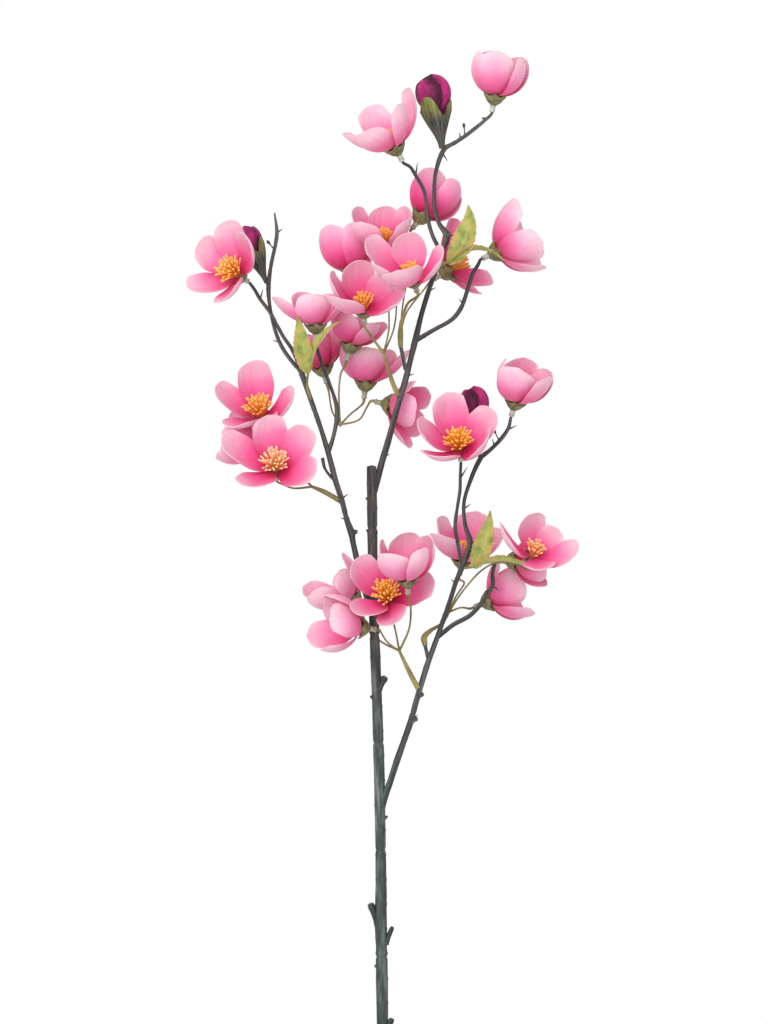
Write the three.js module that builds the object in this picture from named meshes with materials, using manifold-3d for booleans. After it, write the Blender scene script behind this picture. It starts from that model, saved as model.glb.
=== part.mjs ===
// A cut spray of artificial apple blossom that lies on a surface: a moulded dark stem with three
// forked branches, green sprigs pushed onto pegs, cupped pink blooms, magenta buds and leaves.
// Millimetres. The stem runs along Y with its cut foot at -Y, and Z points up from the surface.
import * as THREE from "three";
import Module from "manifold-3d";

const wasm = await Module();
wasm.setup();

// Driving sizes
const GAP = 0.35; // left between pieces that touch
const PETAL = {
  length: 33, halfWidth: 12, thickness: 0.8, bowl: 14, overlap: 0.2,
  lengthSpread: 0.04, widthSpread: 0.05, // how unlike the petals are, as shares
};
const OUTLINE = { claw: 0.16, widest: 0.6, tip: 0.74, round: 0.14 }; // shares of a petal's size
const PETAL_COUNT = 5;
const CLAW_RISE = 8; // degrees above the bloom's own plane, where a petal starts
const HUB = { hole: 1.9, radius: 4.2, height: 1.3, step: 0.6, claw: 19, petalStart: 2.3 };
const PIN = 0.9; // radius of the pin that carries the petals
const CALYX = { length: 6, tip: 7.4, notch: 3.4, collar: 1.7, mouth: 1.53, drop: 0.7 };
const COLLAR_LENGTH = 9.5; // from a bloom's base back to the end of its collar
const PEG_DEPTH = 3.5; // how far a twig or peg reaches into a collar or sleeve
const STAMENS = {
  seat: 2.4, // radius of the disc they stand on
  middle: 0.5, // radius of the flat between them
  low: 2.2, // how far the gaps between them reach down, and how wide they are there
  root: 1.3,
  uneven: 0.1,
  wide: { reach: 7.4, tall: 9.4 },
  open: { reach: 5.6, tall: 8.6 },
  closed: { reach: 3.4, tall: 9 },
};
const LEAF = {
  thickness: 0.8, rows: 8, tooth: 0.8, fold: 20,
  foot: 0.06, reach: 0.9, power: 0.8, narrowest: 0.7, // its width is a sine of v raised to the power
};
const PEG = { root: 0.9, tip: 0.8, bud: 1.2, stalk: 1 }; // radii where twigs and stalks end
const THORN = { root: 0.7, tip: 0.25, sides: 3 };
const KNOB = { root: 0.5, neck: 0.45, neckAt: 0.6, head: 1 };
const SIDES = { stem: 8, branch: 6, twig: 5, stalk: 4 };
const OPEN_RISE = 90; // a bloom with a petal that ends less steeply than this shows its stamens
const WIDE_RISE = 78; // and one whose petals' mean rise is less than this shows them spread out

const COLOURS = {
  bark: 0x3d3b3a,
  petal: 0xef6fa3,
  heart: 0xa89a4a,
  leaf: 0xa9ad55,
  budPetal: 0x7c1f52,
  budCalyx: 0x5d6140,
};

// Main stem, from the cut foot to the sawn-off top: x, y, radius. Its height above the surface
// rises evenly from foot to top.
const FOOT = { y: -320, z: 3.2, slope: 0.128 };
const stemZ = (y) => FOOT.z + (y - FOOT.y) * FOOT.slope;
const STEM = [
  [0.5, -320, 3.5], [-1, -263, 3.45], [-1.4, -222, 3.5], [-1.5, -217, 3.2], [-1.7, -211, 3.5],
  [-1.9, -162, 3.2], [-3, -105, 3.2], [-4.2, -69, 3.0], [-5.7, -33, 3.0], [-6.6, 3, 3.0],
  [-6.9, 39, 3.0], [-7.3, 71, 2.9],
].map(([x, y, r]) => [x, y, stemZ(y), r]);

// Sawn-off stubs and knots on the stem: root, tip, root radius, tip radius.
const STEM_STUBS = [
  [[-3.4, -204, 17.5], [-8, -191, 21], 2.0, 1.7],
  [[0.6, -215, 17], [5, -205, 18], 1.9, 1.1],
  [[0.4, -270, 10.5], [4.8, -260, 12], 2.0, 1.4],
  [[-3.6, -62, 36.5], [0.8, -55, 39], 2.3, 1.7],
  [[-5, -69, 36], [-8, -66.5, 36], 1.3, 0.7],
  [[-1, -141, 26], [1.9, -138.5, 26], 1.3, 0.7],
  [[-3.5, -230, 15], [-5.4, -228, 15], 1.3, 0.7],
  [[-6.5, 50, 51], [-10.6, 52, 51], 1.3, 0.7],
  [[-6.5, 31, 48], [-10.4, 33, 48], 1.3, 0.7],
];

// Branches: each path is a list of x, y, z, radius. A thorn is root, tip. Twigs that carry a bloom
// run on into its collar, and pegs run on into a sprig's sleeve.
const BRANCHES = {
  right: {
    main: [
      [-2.4, -139, 26.5, 1.6], [0.4, -127, 28.5, 2.1], [3.9, -117, 31, 1.9], [7.8, -105, 33, 2.0],
      [12, -93, 35, 1.8], [16.2, -81, 37, 1.9], [19.5, -69, 38.5, 1.7], [25.8, -48, 41.5, 1.7],
      [31.2, -33, 44, 1.5], [39.6, -9, 47, 1.4], [43.5, 3, 48.5, 1.4], [47.4, 12, 50, 1.7],
    ],
    twigs: [
      {
        bloom: 19,
        path: [
          [47, 11, 50, 1.3], [44.4, 24, 50.5, 1.1], [42.6, 36, 51, 1.1], [43.8, 46, 51.5, 1],
          [45.4, 57, 54.5, 1], [45.6, 66, 59, 0.9],
        ],
      },
      {
        bloom: 20,
        path: [
          [47.6, 12, 50, 1.4], [51.4, 25, 49.5, 1.8], [48.6, 36, 49, 1.2], [47.7, 48, 50, 1.1],
          [50.4, 59, 52, 1.2], [57.6, 75.6, 54, 1.5], [63.6, 81, 55, 1.2], [69.6, 87, 56, 1.2],
          [74.4, 94, 57, 1.1],
        ],
      },
      {
        bloom: 23,
        path: [
          [32.4, -31, 44, 1.3], [41, -24, 44, 1.4], [51.6, -18, 44.5, 1.4], [59.4, -9.5, 45, 1.3],
          [65, 0, 44, 1.2], [65, 7, 41.5, 1.1],
        ],
      },
    ],
    bud: [[57.6, 75.6, 54], "right"],
    pegs: [
      { sprig: "right", path: [[27, -46, 42, 1.2], [24.6, -36, 41, 1.1], [24, -32, 40.4, 1.1]] },
      { sprig: "stem", path: [[21.9, -62, 39.5, 1.5], [19.6, -61, 40.5, 1.2]] },
    ],
    thorns: [
      [[16.2, -81, 37], [20.4, -77.5, 37.5]],
      [[43, 1, 48], [40, 3.6, 48.5]], [[51.4, 25, 50], [55, 27, 50]],
      [[48, 46, 50.3], [52, 48.6, 51]], [[45.6, 64, 57.8], [49.8, 70.6, 59]],
      [[66, 83, 55.5], [64.8, 87.6, 56]],
      [[74, 93, 57], [79.4, 95.6, 57.5]], [[64.8, 0, 44.2], [69, -3.6, 45]],
    ],
    knob: [[69, 86, 56], [65.4, 93.6, 57.5]],
  },
  left: {
    main: [
      [-6.4, -22, 41.3, 1.5], [-11.6, -3, 43.6, 1.8], [-16.4, 16, 46, 1.8], [-18.8, 27, 47.5, 1.7],
      [-19.4, 31, 48, 2.1], [-22.2, 39, 49, 1.7], [-25.2, 51, 50.5, 1.6], [-28.8, 62, 52, 1.7],
      [-33, 78, 54, 1.6], [-37.2, 92, 55.5, 1.4], [-42, 106, 57, 1.5], [-46.2, 118, 58, 1.5],
      [-49.2, 127, 59, 1.8],
    ],
    twigs: [
      {
        bloom: 15,
        path: [
          [-48.6, 126, 59, 1.4], [-54.6, 140.4, 60, 1.2], [-60.6, 149.4, 61, 1.1],
          [-67.8, 162.6, 60, 1.1], [-74.4, 171.6, 57.5, 1.1], [-77.4, 176.8, 55.5, 1],
        ],
      },
      {
        path: [
          [-49.2, 127, 59, 1.4], [-57, 136.4, 58, 1.2], [-61.8, 144, 57.5, 1.2],
          [-65.6, 154.2, 57.5, 1.1], [-68.4, 168, 58, 1.1], [-69, 179, 58.5, 1.4],
          [-67.4, 192, 59.5, 1.1], [-64.8, 204, 60.5, 1.1], [-64, 211, 61, 1.1],
          [-65.4, 222.5, 62, 0.45],
        ],
      },
      {
        bloom: 10,
        path: [
          [-33.4, 79, 54, 1.4], [-30, 90, 54.5, 1.2], [-28.2, 101, 55, 1.3], [-28.8, 109, 55.5, 1.2],
          [-32.4, 120, 58.5, 1.1], [-36.6, 131, 60, 1.1], [-39.6, 140, 61.5, 1],
        ],
      },
    ],
    bud: [[-69, 179, 58.5], "left"],
    pegs: [
      { sprig: "left", path: [[-25.4, 49, 50.2, 1.2], [-27.6, 51.6, 49.5, 1.1]] },
      { sprig: "middle", path: [[-28.2, 99.5, 55, 1.2], [-27.4, 98.6, 52, 1.1]] },
      {
        path: [
          [-29, 62, 52, 1.0], [-32.8, 66, 53, 0.9], [-35.6, 70.4, 53.8, 0.9], [-36.8, 76, 54.4, 1.1],
        ],
      },
    ],
    thorns: [
      [[-22.2, 39, 49], [-26, 40.4, 49.5]], [[-25, 52, 50.6], [-21.4, 54.6, 51]],
      [[-62.4, 145.4, 57.6], [-66.4, 146.4, 58]],
      [[-74, 171, 57.7], [-72.4, 177, 59]], [[-64.2, 210.6, 61], [-60.6, 213, 61.4]],
    ],
    knob: [[-65.4, 200.4, 60.2], [-69.8, 206, 61.4]],
  },
  upper: {
    main: [
      [-6.6, 52, 50.8, 1.6], [-3.6, 64.5, 52.8, 1.9], [-1.2, 74, 54.5, 1.9], [1.8, 84, 56, 1.9],
      [5.4, 97, 57.5, 1.8], [9, 110, 58.8, 1.8], [12.6, 122, 60, 1.9], [15.6, 134, 61, 1.7],
      [18.6, 146, 62, 1.9], [22.2, 161, 63, 1.5], [26.4, 175, 64, 1.5], [31.2, 189, 64.5, 1.5],
      [34.8, 200, 65, 1.8],
    ],
    twigs: [
      {
        bloom: 2,
        path: [
          [34.2, 199, 65, 1.4], [29.4, 208, 66, 1.2], [26.4, 218, 66.5, 1.2], [25.2, 229, 67, 1.1],
          [23.4, 237, 67.5, 1.1], [18.6, 245.4, 68, 1.1], [15.6, 250, 68.5, 1],
        ],
      },
      {
        bloom: 1,
        path: [
          [35, 200, 65, 1.5], [37.4, 209, 65.5, 2], [33, 216, 66, 1.3], [30.3, 225, 66, 1.2],
          [30, 237, 65.5, 1.1], [31.2, 248, 65, 1.2], [36, 260.5, 65, 1.5], [42.6, 264.6, 65, 1.2],
          [49.2, 269, 65, 1.2], [56.4, 274.6, 64.5, 1.1], [61.2, 278.6, 64, 1],
        ],
      },
      {
        bloom: 3,
        path: [
          [18.6, 146, 62, 1.5], [29.4, 152.4, 61, 1.3], [40.8, 159, 60, 1.3], [46.2, 166, 59, 1.4],
          [49.8, 176, 58, 1.2], [53, 186, 56.5, 1.2], [56.5, 192, 55, 1.1],
        ],
      },
    ],
    bud: [[36, 260.5, 65], "top"],
    pegs: [
      { sprig: "upper", path: [[12.8, 129, 60.5, 1.3], [10.6, 137, 62, 1.1]] },
      { sprig: "front", path: [[9.2, 111.5, 59, 1.3], [7.8, 114.6, 60.5, 1.1]] },
    ],
    thorns: [
      [[-1, 76, 54.6], [3.6, 78.6, 55]],
      [[13.4, 125, 60.2], [18, 126.4, 60.6]], [[27, 176, 64], [31, 178, 64.4]],
      [[37.6, 209, 65.8], [41.6, 208.6, 66]],
      [[19, 245, 68], [20, 252.6, 69.4]], [[45.6, 266.6, 65], [45.2, 270.6, 65.6]],
      [[35, 258, 65], [38, 253.6, 65]], [[58.6, 279, 64.2], [63.6, 279.6, 64.6]],
      [[47.4, 168, 58.8], [44.6, 171.4, 59]],
    ],
    knob: [[48.4, 268.6, 65], [47.6, 276, 66]],
  },
};

// Five alike petals at even turns from the first.
const evenly = (first, rise, ...shares) =>
  Array.from({ length: PETAL_COUNT }, (_, k) => [first + (360 / PETAL_COUNT) * k, rise, ...shares]);

// Blooms: base x, y, z, heading in the XY plane and tilt up from it in degrees (the way the bloom
// faces), then for each petal its turn from the upward side and how steeply it ends, and where they
// differ from 1 its length and width as shares of the usual ones.
const BLOOMS = {
  1: {
    base: [66.2, 292.2, 64], heading: 80, tilt: 0,
    petals: [[-8, 120, 1, 0.92], [64, 122], [136, 119], [208, 120], [280, 122]],
  },
  2: {
    base: [6.6, 261.6, 72], heading: 118, tilt: 10,
    petals: [
      [42, 98, 0.95, 0.9], [102, 94, 1.18, 0.85], [188, 86, 1.08, 0.95], [258, 77, 0.97, 1.05],
      [328, 78, 0.95, 0.95],
    ],
  },
  3: {
    base: [67.2, 199.2, 52], heading: 25, tilt: -10,
    petals: [[14, 80], [82, 90], [144, 97], [206, 101], [290, 84, 1.02, 1.05]],
  },
  4: { base: [22.2, 220.8, 50], heading: 55, tilt: -14, petals: evenly(38, 132) },
  5: {
    base: [37.8, 187.8, 31], heading: 30, tilt: -20,
    petals: [
      [58, 72, 0.8], [118, 62, 0.82, 0.9], [178, 80, 0.8, 0.9], [238, 68, 0.9, 0.95],
      [300, 60, 0.9, 0.9],
    ],
  },
  6: {
    base: [17.4, 182.4, 92], heading: 108, tilt: 35,
    petals: [
      [56, 72, 0.95, 1.1], [166, 101, 0.92], [226, 84, 1.08, 0.95], [284, 95],
      [342, 88, 1.05, 1.12],
    ],
  },
  7: {
    base: [-12, 164.4, 83], heading: 92, tilt: 35,
    petals: [[57, 62, 1, 0.98], [127, 84, 0.76, 0.85], [192, 102, 0.9], [257, 95], [320, 80]],
  },
  8: { base: [-19, 187.8, 40], heading: 95, tilt: -18, petals: evenly(22, 120) },
  9: {
    base: [0, 202.8, 54], heading: 97, tilt: 18,
    petals: [
      [46, 78, 0.95], [114, 99, 0.82, 0.72], [172, 110, 0.8, 0.85], [234, 98, 0.92],
      [315, 100, 0.8, 0.85],
    ],
  },
  10: {
    base: [-40.8, 155.4, 65], heading: 92, tilt: 4,
    petals: [
      [-6, 100, 0.84, 1.05], [72, 72, 0.68, 0.8], [142, 96, 0.75, 0.82], [207, 90, 0.8, 0.88],
      [274, 66, 0.9, 0.9],
    ],
  },
  11: {
    base: [-20, 143.6, 48], heading: 75, tilt: 0,
    petals: [
      [43, 86, 0.74, 0.85], [112, 94, 0.72, 0.78], [181, 106, 0.72, 0.78], [250, 116, 0.72, 0.85],
      [322, 110, 0.74, 0.9],
    ],
  },
  12: {
    base: [-11, 121.2, 24.5], heading: 84, tilt: 0,
    petals: [
      [5, 108, 0.88, 1.12], [77, 80, 0.98], [149, 92, 0.95], [221, 108, 0.85],
      [291, 112, 0.93, 1.05],
    ],
  },
  13: {
    base: [3.6, 108, 29], heading: -12, tilt: 15,
    petals: [
      [4, 90, 0.98], [76, 73, 0.85, 0.9], [146, 94, 0.85, 0.9], [214, 94, 0.77, 0.88],
      [286, 74, 0.65, 0.8],
    ],
  },
  14: { base: [-36.6, 130, 18.4], heading: 104, tilt: 0, petals: evenly(0, 128, 0.8, 0.8) },
  15: {
    base: [-87, 185.4, 64], heading: 146, tilt: 45,
    petals: [
      [66, 84], [122, 66, 0.97, 0.95], [174, 82, 0.95, 0.95], [248, 72, 0.9], [316, 60, 0.9, 1.1],
    ],
  },
  16: {
    base: [-73.2, 100.8, 33.4], heading: 108, tilt: 40,
    petals: [
      [4, 45, 0.6, 0.8], [58, 68, 0.98, 1.05], [170, 73, 1.03], [236, 76, 0.97],
      [310, 50, 0.85, 1.1],
    ],
  },
  17: {
    base: [-64.8, 69, 64], heading: 97, tilt: 54,
    petals: [[48, 56], [118, 64], [182, 70, 0.95], [248, 60, 1.12, 1.15], [318, 56, 1, 1.05]],
  },
  18: { base: [-73.5, 84, 17.04], heading: 160, tilt: 0, petals: evenly(0, 112, 0.9) },
  19: {
    base: [45, 81, 70], heading: 98, tilt: 48,
    petals: [[45, 88], [114, 70], [187, 69, 0.98], [255, 80], [320, 72]],
  },
  20: {
    base: [78.6, 109.8, 60], heading: 74, tilt: 18,
    petals: [
      [52, 100, 0.95, 0.95], [120, 104, 0.92, 0.95], [190, 116, 0.85], [262, 120, 0.92, 0.9],
      [346, 112, 0.95, 1.05],
    ],
  },
  21: {
    base: [46.8, 15, 17], heading: 80, tilt: 18,
    petals: [
      [38, 74, 0.85, 0.9], [104, 86, 0.95], [170, 90, 0.98], [238, 86, 0.95, 1.05],
      [322, 72, 0.9, 0.9],
    ],
  },
  22: {
    base: [88.8, 17.4, 66], heading: 70, tilt: 45,
    petals: [
      [20, 58, 0.8, 0.85], [81, 78, 1], [150, 92, 0.64, 0.66], [211, 100, 0.85, 0.95],
      [294, 82, 0.98, 0.85],
    ],
  },
  23: { base: [78, 14.4, 41.6], heading: 0, tilt: 0, petals: evenly(36, 112, 0.76, 0.85) },
  24: {
    base: [63, -9.6, 19.9], heading: 22, tilt: 0,
    petals: [
      [-8, 116, 0.97], [62, 98, 0.9, 0.95], [136, 90, 0.75, 0.9], [206, 100, 0.95],
      [281, 62, 0.72, 0.72],
    ],
  },
  25: {
    base: [13.8, 3.6, 84], heading: 95, tilt: 20,
    petals: [
      [36, 108, 0.97], [106, 114, 0.92], [176, 118, 0.97, 1.05], [248, 114, 0.9, 0.85],
      [328, 104, 0.9],
    ],
  },
  26: {
    base: [2.4, -9, 60], heading: 104, tilt: 55,
    petals: [
      [0, 48, 0.95, 0.95], [74, 58, 1, 0.8], [146, 80], [212, 66, 0.88], [304, 50, 0.78, 1.1],
    ],
  },
  27: {
    base: [-13.8, -25.2, 56], heading: 172, tilt: 14,
    petals: [
      [14, 104, 1.02, 1.08], [82, 114, 0.95, 0.95], [142, 102, 0.9, 0.9], [203, 93, 1.06, 0.92],
      [269, 106, 0.92, 0.82],
    ],
  },
  28: {
    base: [-18.6, -7.8, 18.85], heading: 140, tilt: 4,
    petals: [
      [24, 104, 0.72, 0.78], [88, 105, 0.85, 0.76], [157, 101, 0.68, 0.7], [222, 100],
      [308, 98, 0.95],
    ],
  },
};

// Sprigs: a sleeve over a peg, then stalks, each running on into its bloom's collar.
const SPRIGS = {
  upper: {
    sleeve: [[11.4, 134, 61.6, 1.9], [9.8, 146, 67, 1.8], [10.2, 158, 73, 1.5]],
    stalks: [
      { bloom: 6, path: [[10.2, 157, 72.6, 1.3], [14, 168, 77, 1.1]] },
      { bloom: 4, path: [[10, 150, 68.6, 0.8], [11, 166, 55, 0.7], [16, 196, 47, 0.7]] },
      { bloom: 5, path: [[10, 152, 69.6, 0.8], [14, 164, 52, 0.7], [24, 177, 42, 0.7]] },
    ],
  },
  front: {
    sleeve: [[8.3, 113.6, 60.2, 1.9], [4.8, 122, 63, 1.6], [-0.6, 139.5, 67, 1.3]],
    stalks: [
      { bloom: 7, path: [[-0.6, 139, 67, 1.3], [-6.4, 147, 70, 1.1]] },
      { bloom: 9, path: [[-0.4, 138, 66.6, 0.8], [6, 154, 60, 0.7], [7, 172, 52, 0.7]] },
      { bloom: 8, path: [[-0.4, 138, 66.6, 0.8], [3, 155, 64, 0.7], [0, 172, 56, 0.7]] },
    ],
  },
  middle: {
    sleeve: [[-27.2, 97.4, 53.4, 1.8], [-26, 95.6, 48, 1.5]],
    stalks: [
      { bloom: 12, path: [[-26.2, 96, 49, 0.9], [-20, 102.4, 37, 0.8], [-14.8, 106.6, 28, 0.8]] },
      { bloom: 13, path: [[-26.2, 96, 49, 0.9], [-15, 99, 38, 0.8], [-10, 107, 28.5, 0.8]] },
      { bloom: 11, path: [[-26.2, 96, 49, 0.9], [-27, 112, 49, 0.8], [-26, 126, 49, 0.8]] },
      { bloom: 14, path: [[-26.2, 96, 49, 0.9], [-31, 104, 34, 0.8], [-33, 115, 20.5, 0.8]] },
    ],
  },
  left: {
    sleeve: [[-26.8, 50.8, 49.8, 1.8], [-36, 56, 48, 1.6], [-43.2, 59, 47, 1.4]],
    stalks: [
      { bloom: 17, path: [[-43, 59, 47, 1.0], [-54, 58, 49, 0.8], [-61, 60.5, 52, 0.8]] },
      { bloom: 16, path: [[-43, 59, 47, 0.9], [-54, 70, 34, 0.8], [-67, 84, 20, 0.8]] },
      { bloom: 18, path: [[-43, 59, 47, 0.9], [-52, 67, 28, 0.8], [-58, 77, 18, 0.8]] },
    ],
  },
  right: {
    sleeve: [
      [24.7, -36, 41, 1.8], [24, -31.4, 40.2, 1.7], [27.6, -27.4, 37.6, 1.5], [35, -22.6, 34.6, 1.3],
      [39, -16, 33, 1.3],
    ],
    stalks: [
      { bloom: 24, path: [[39, -16, 33, 1.0], [46, -13.5, 28, 0.8]] },
      { bloom: 21, path: [[39, -16, 33, 0.9], [43, -7, 28, 0.8], [48, 1, 24, 0.8]] },
      {
        bloom: 22,
        path: [
          [39, -16, 33, 0.9], [44, -8, 37, 0.8], [50, 0, 42, 0.8], [58, 8.5, 47, 0.8],
          [67, 13.5, 51.5, 0.8], [77, 13.5, 55, 0.8], [83, 10, 56.2, 0.8],
        ],
      },
    ],
  },
  stem: {
    sleeve: [[20.2, -61.4, 40.2, 1.9], [16.2, -54, 44, 1.7], [9, -39, 50, 1.3]],
    stalks: [
      { bloom: 25, path: [[9.2, -39.4, 49.8, 1.1], [15, -26, 60, 0.9], [16, -13, 74, 0.9]] },
      { bloom: 26, path: [[9.2, -39.4, 49.8, 0.9], [7, -28, 47, 0.8]] },
      { bloom: 27, path: [[9.2, -39.4, 49.8, 0.9], [2, -34, 52, 0.8], [-3, -26, 53, 0.8]] },
      { bloom: 28, path: [[9.2, -39.4, 49.8, 0.9], [-4, -32, 30, 0.8], [-12, -20, 33, 0.8]] },
    ],
  },
};

// Buds: base, heading, tilt, scale, and their girth as a share of the usual one.
const BUDS = {
  top: { base: [34.8, 261, 66], heading: 99, tilt: 0, size: 1.02, girth: 1 },
  left: { base: [-70.4, 181, 57], heading: 111, tilt: -14, size: 0.85, girth: 0.78 },
  right: { base: [56, 80, 51], heading: 94, tilt: -8, size: 0.9, girth: 0.95 },
};

// Leaves, in pairs: root, middle and tip of each midrib, the way across the blade, half width.
const LEAVES = {
  upper: {
    stalk: [[33, 192, 65, 0.9], [38.6, 193, 67, 0.8]],
    blades: [
      { rib: [[38.4, 192, 67], [48, 208, 72], [50.4, 227, 66]], across: [1, -0.3, 0.4], half: 6.6 },
      { rib: [[39, 192, 67], [56, 208, 74], [71.4, 194, 66]], across: [0.1, 0.3, 1], half: 5.4 },
    ],
  },
  left: {
    stalk: [[-43, 109, 57.4, 0.9], [-46, 119, 61, 0.8], [-45.4, 127.6, 64.4, 0.8]],
    blades: [
      { rib: [[-45.8, 127, 64], [-48, 143, 74], [-51.6, 160.8, 76]], across: [1, 0.2, 0.3], half: 6.6 },
      { rib: [[-45, 127, 64], [-43, 148, 80], [-26, 157.6, 84]], across: [0.5, -0.4, 0.8], half: 4 },
    ],
  },
  right: {
    stalk: [[48, 10.5, 50.4, 0.9], [54, 11, 55, 0.8]],
    blades: [
      { rib: [[53.6, 10.6, 55], [62, 24, 62], [63.6, 44.4, 58]], across: [1, -0.3, 0.3], half: 7 },
      { rib: [[54, 11, 55], [74, 20, 73], [91.8, 8, 72.5]], across: [0.2, 0.4, 1], half: 4.5 },
    ],
  },
};

const radians = THREE.MathUtils.degToRad;
const vector = ([x, y, z]) => new THREE.Vector3(x, y, z);

// A closed solid from points and the triangles between them.
function solidOf(points, triangles) {
  return new wasm.Manifold(
    new wasm.Mesh({
      numProp: 3,
      vertProperties: new Float32Array(points.flatMap((p) => [p.x, p.y, p.z])),
      triVerts: new Uint32Array(triangles.flat()),
    }),
  );
}

const unionOf = (solids) => solids.reduce((all, next) => all.add(next));

// Triangles between two rows of point numbers, which may differ in length.
function zip(lower, upper) {
  const faces = [];
  const stepsLower = lower.length - 1;
  const stepsUpper = upper.length - 1;
  let a = 0;
  let b = 0;
  while (a < stepsLower || b < stepsUpper) {
    const onLower = b === stepsUpper || (a < stepsLower && (a + 1) * stepsUpper <= (b + 1) * stepsLower);
    faces.push(onLower ? [lower[a], lower[a + 1], upper[b]] : [lower[a], upper[b + 1], upper[b]]);
    if (onLower) a++;
    else b++;
  }
  return faces;
}

// A closed skin over rings of points that turn counter-clockwise about the way they follow each
// other, with a fan of triangles over each end.
function loft(rings) {
  const points = rings.flat();
  let start = 0;
  const loops = rings.map((ring) => {
    const loop = [...ring.keys(), 0].map((k) => start + k);
    start += ring.length;
    return loop;
  });
  const triangles = loops.slice(1).flatMap((loop, i) => zip(loops[i], loop));
  const fan = ([hub, ...rest]) => rest.slice(1, -1).map((b, i) => [hub, rest[i], b]);
  return solidOf(points, [...triangles, ...fan(loops.at(-1)), ...fan(loops[0].toReversed())]);
}

// A tube through rings given as x, y, z, radius; grow makes it fatter.
function tube(path, sides, grow = 0) {
  const centres = path.map(vector);
  const across = new THREE.Vector3(0, 0, 1);
  return loft(
    centres.map((centre, i) => {
      const before = centres[Math.max(i - 1, 0)];
      const after = centres[Math.min(i + 1, centres.length - 1)];
      const along = after.clone().sub(before).normalize();
      across.addScaledVector(along, -across.dot(along)).normalize();
      const other = along.clone().cross(across);
      if (i === 0) centre.addScaledVector(along, -grow);
      if (i === centres.length - 1) centre.addScaledVector(along, grow);
      return circle(sides, path[i][3] + grow, (c, s) =>
        centre.clone().addScaledVector(across, c).addScaledVector(other, s),
      );
    }),
  );
}

// Points round a circle, each placed by a function of its two coordinates.
function circle(sides, radius, place) {
  return Array.from({ length: sides }, (_, k) => {
    const turn = (2 * Math.PI * k) / sides;
    return place(radius * Math.cos(turn), radius * Math.sin(turn), k);
  });
}

const flatRing = (sides, radius, z) => circle(sides, radius, (x, y) => new THREE.Vector3(x, y, z));

const spike = (root, tip, rootRadius, tipRadius, sides) =>
  tube([[...root, rootRadius], [...tip, tipRadius]], sides);

// A thin closed body between two skins that are split into triangles alike: corners with a point
// on the front and one on the back, the front's triangles, and the loops of its edges.
function shell(corners, faces, loops) {
  const half = corners.length;
  const walls = loops.flatMap((loop) =>
    loop.flatMap((a, i) => {
      const b = loop[(i + 1) % loop.length];
      return [[a, a + half, b + half], [a, b + half, b]];
    }),
  );
  const points = [...corners.map(({ front }) => front), ...corners.map(({ back }) => back)];
  return solidOf(points, [...faces, ...faces.map(([a, b, c]) => [a + half, c + half, b + half]), ...walls]);
}

// Rows of corners as rows of their numbers in one list that starts at a given number.
function numbered(rows, start) {
  let next = start;
  return rows.map((row) => row.map(() => next++));
}

// The triangles between rows.
const skin = (rows) => rows.slice(1).flatMap((row, i) => zip(rows[i], row));

// The edge of a grid of rows from its first row's last corner round to its first row's first.
const edge = (rows) => [
  ...rows.slice(0, -1).map((row) => row.at(-1)),
  ...rows.at(-1).toReversed(),
  ...rows.slice(0, -1).map((row) => row[0]).reverse(),
];

const corner = (point, normal, thickness) => ({
  front: point.clone().addScaledVector(normal, thickness / 2),
  back: point.clone().addScaledVector(normal, -thickness / 2),
});

// A small, repeatable spread from -1 to 1 for petal k of bloom n.
const spread = (n, k, which) => Math.sin(n * 12.9898 + k * 78.233 + which * 37.719);

// A petal's width at v from claw to tip, as a share of its greatest width.
function outlineWidth(v) {
  const { widest, claw, tip } = OUTLINE;
  if (v < widest) return 1 - (1 - claw) * (1 - v / widest) ** 1.7;
  return 1 - (1 - tip) * ((v - widest) / (1 - widest)) ** 1.6;
}

// A point of a petal's middle surface in the bloom's own frame, where Z is the way it faces.
// u runs across from -1 to 1 and v from claw to tip. The midrib is a circular arc that climbs
// from CLAW_RISE to the petal's own rise, and the blade curls round it like a spoon.
function petalPoint(u, v, shape) {
  const along = v - OUTLINE.round * v ** 2 * Math.abs(u) ** 3;
  const start = radians(CLAW_RISE);
  const climb = radians(shape.rise - CLAW_RISE);
  const elevation = start + climb * along;
  const radius = HUB.petalStart + (shape.length * (Math.sin(elevation) - Math.sin(start))) / climb;
  const height = HUB.height / 2 + (shape.length * (Math.cos(start) - Math.cos(elevation))) / climb;
  const half = shape.halfWidth * outlineWidth(v);
  const curl = (u * half) / PETAL.bowl;
  const sideways = PETAL.bowl * Math.sin(curl);
  const lift = PETAL.bowl * (1 - Math.cos(curl)) + PETAL.overlap * u * half;
  const outward = radius - lift * Math.sin(elevation);
  const c = Math.cos(shape.azimuth);
  const s = Math.sin(shape.azimuth);
  return new THREE.Vector3(
    outward * c - sideways * s,
    outward * s + sideways * c,
    height + lift * Math.cos(elevation),
  );
}

function petalCorner(u, v, shape) {
  const step = 0.02;
  const across = petalPoint(u + step, v, shape).sub(petalPoint(u - step, v, shape));
  const along = petalPoint(u, v + step, shape).sub(petalPoint(u, v - step, shape));
  return corner(petalPoint(u, v, shape), across.cross(along).normalize(), PETAL.thickness);
}

const PETAL_ROWS = [
  [0.34, [-1, 0, 1]],
  [0.7, [-1, -0.36, 0.36, 1]],
  [1, [-1, 0, 1]],
];

function petalShape(number, bloom, k) {
  const [turn, rise, long = 1, wide = 1] = bloom.petals[k];
  return {
    azimuth: radians(turn),
    rise,
    length: PETAL.length * long * (1 + PETAL.lengthSpread * spread(number, k, 2)),
    halfWidth: PETAL.halfWidth * wide * (1 + PETAL.widthSpread * spread(number, k, 3)),
  };
}

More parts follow.
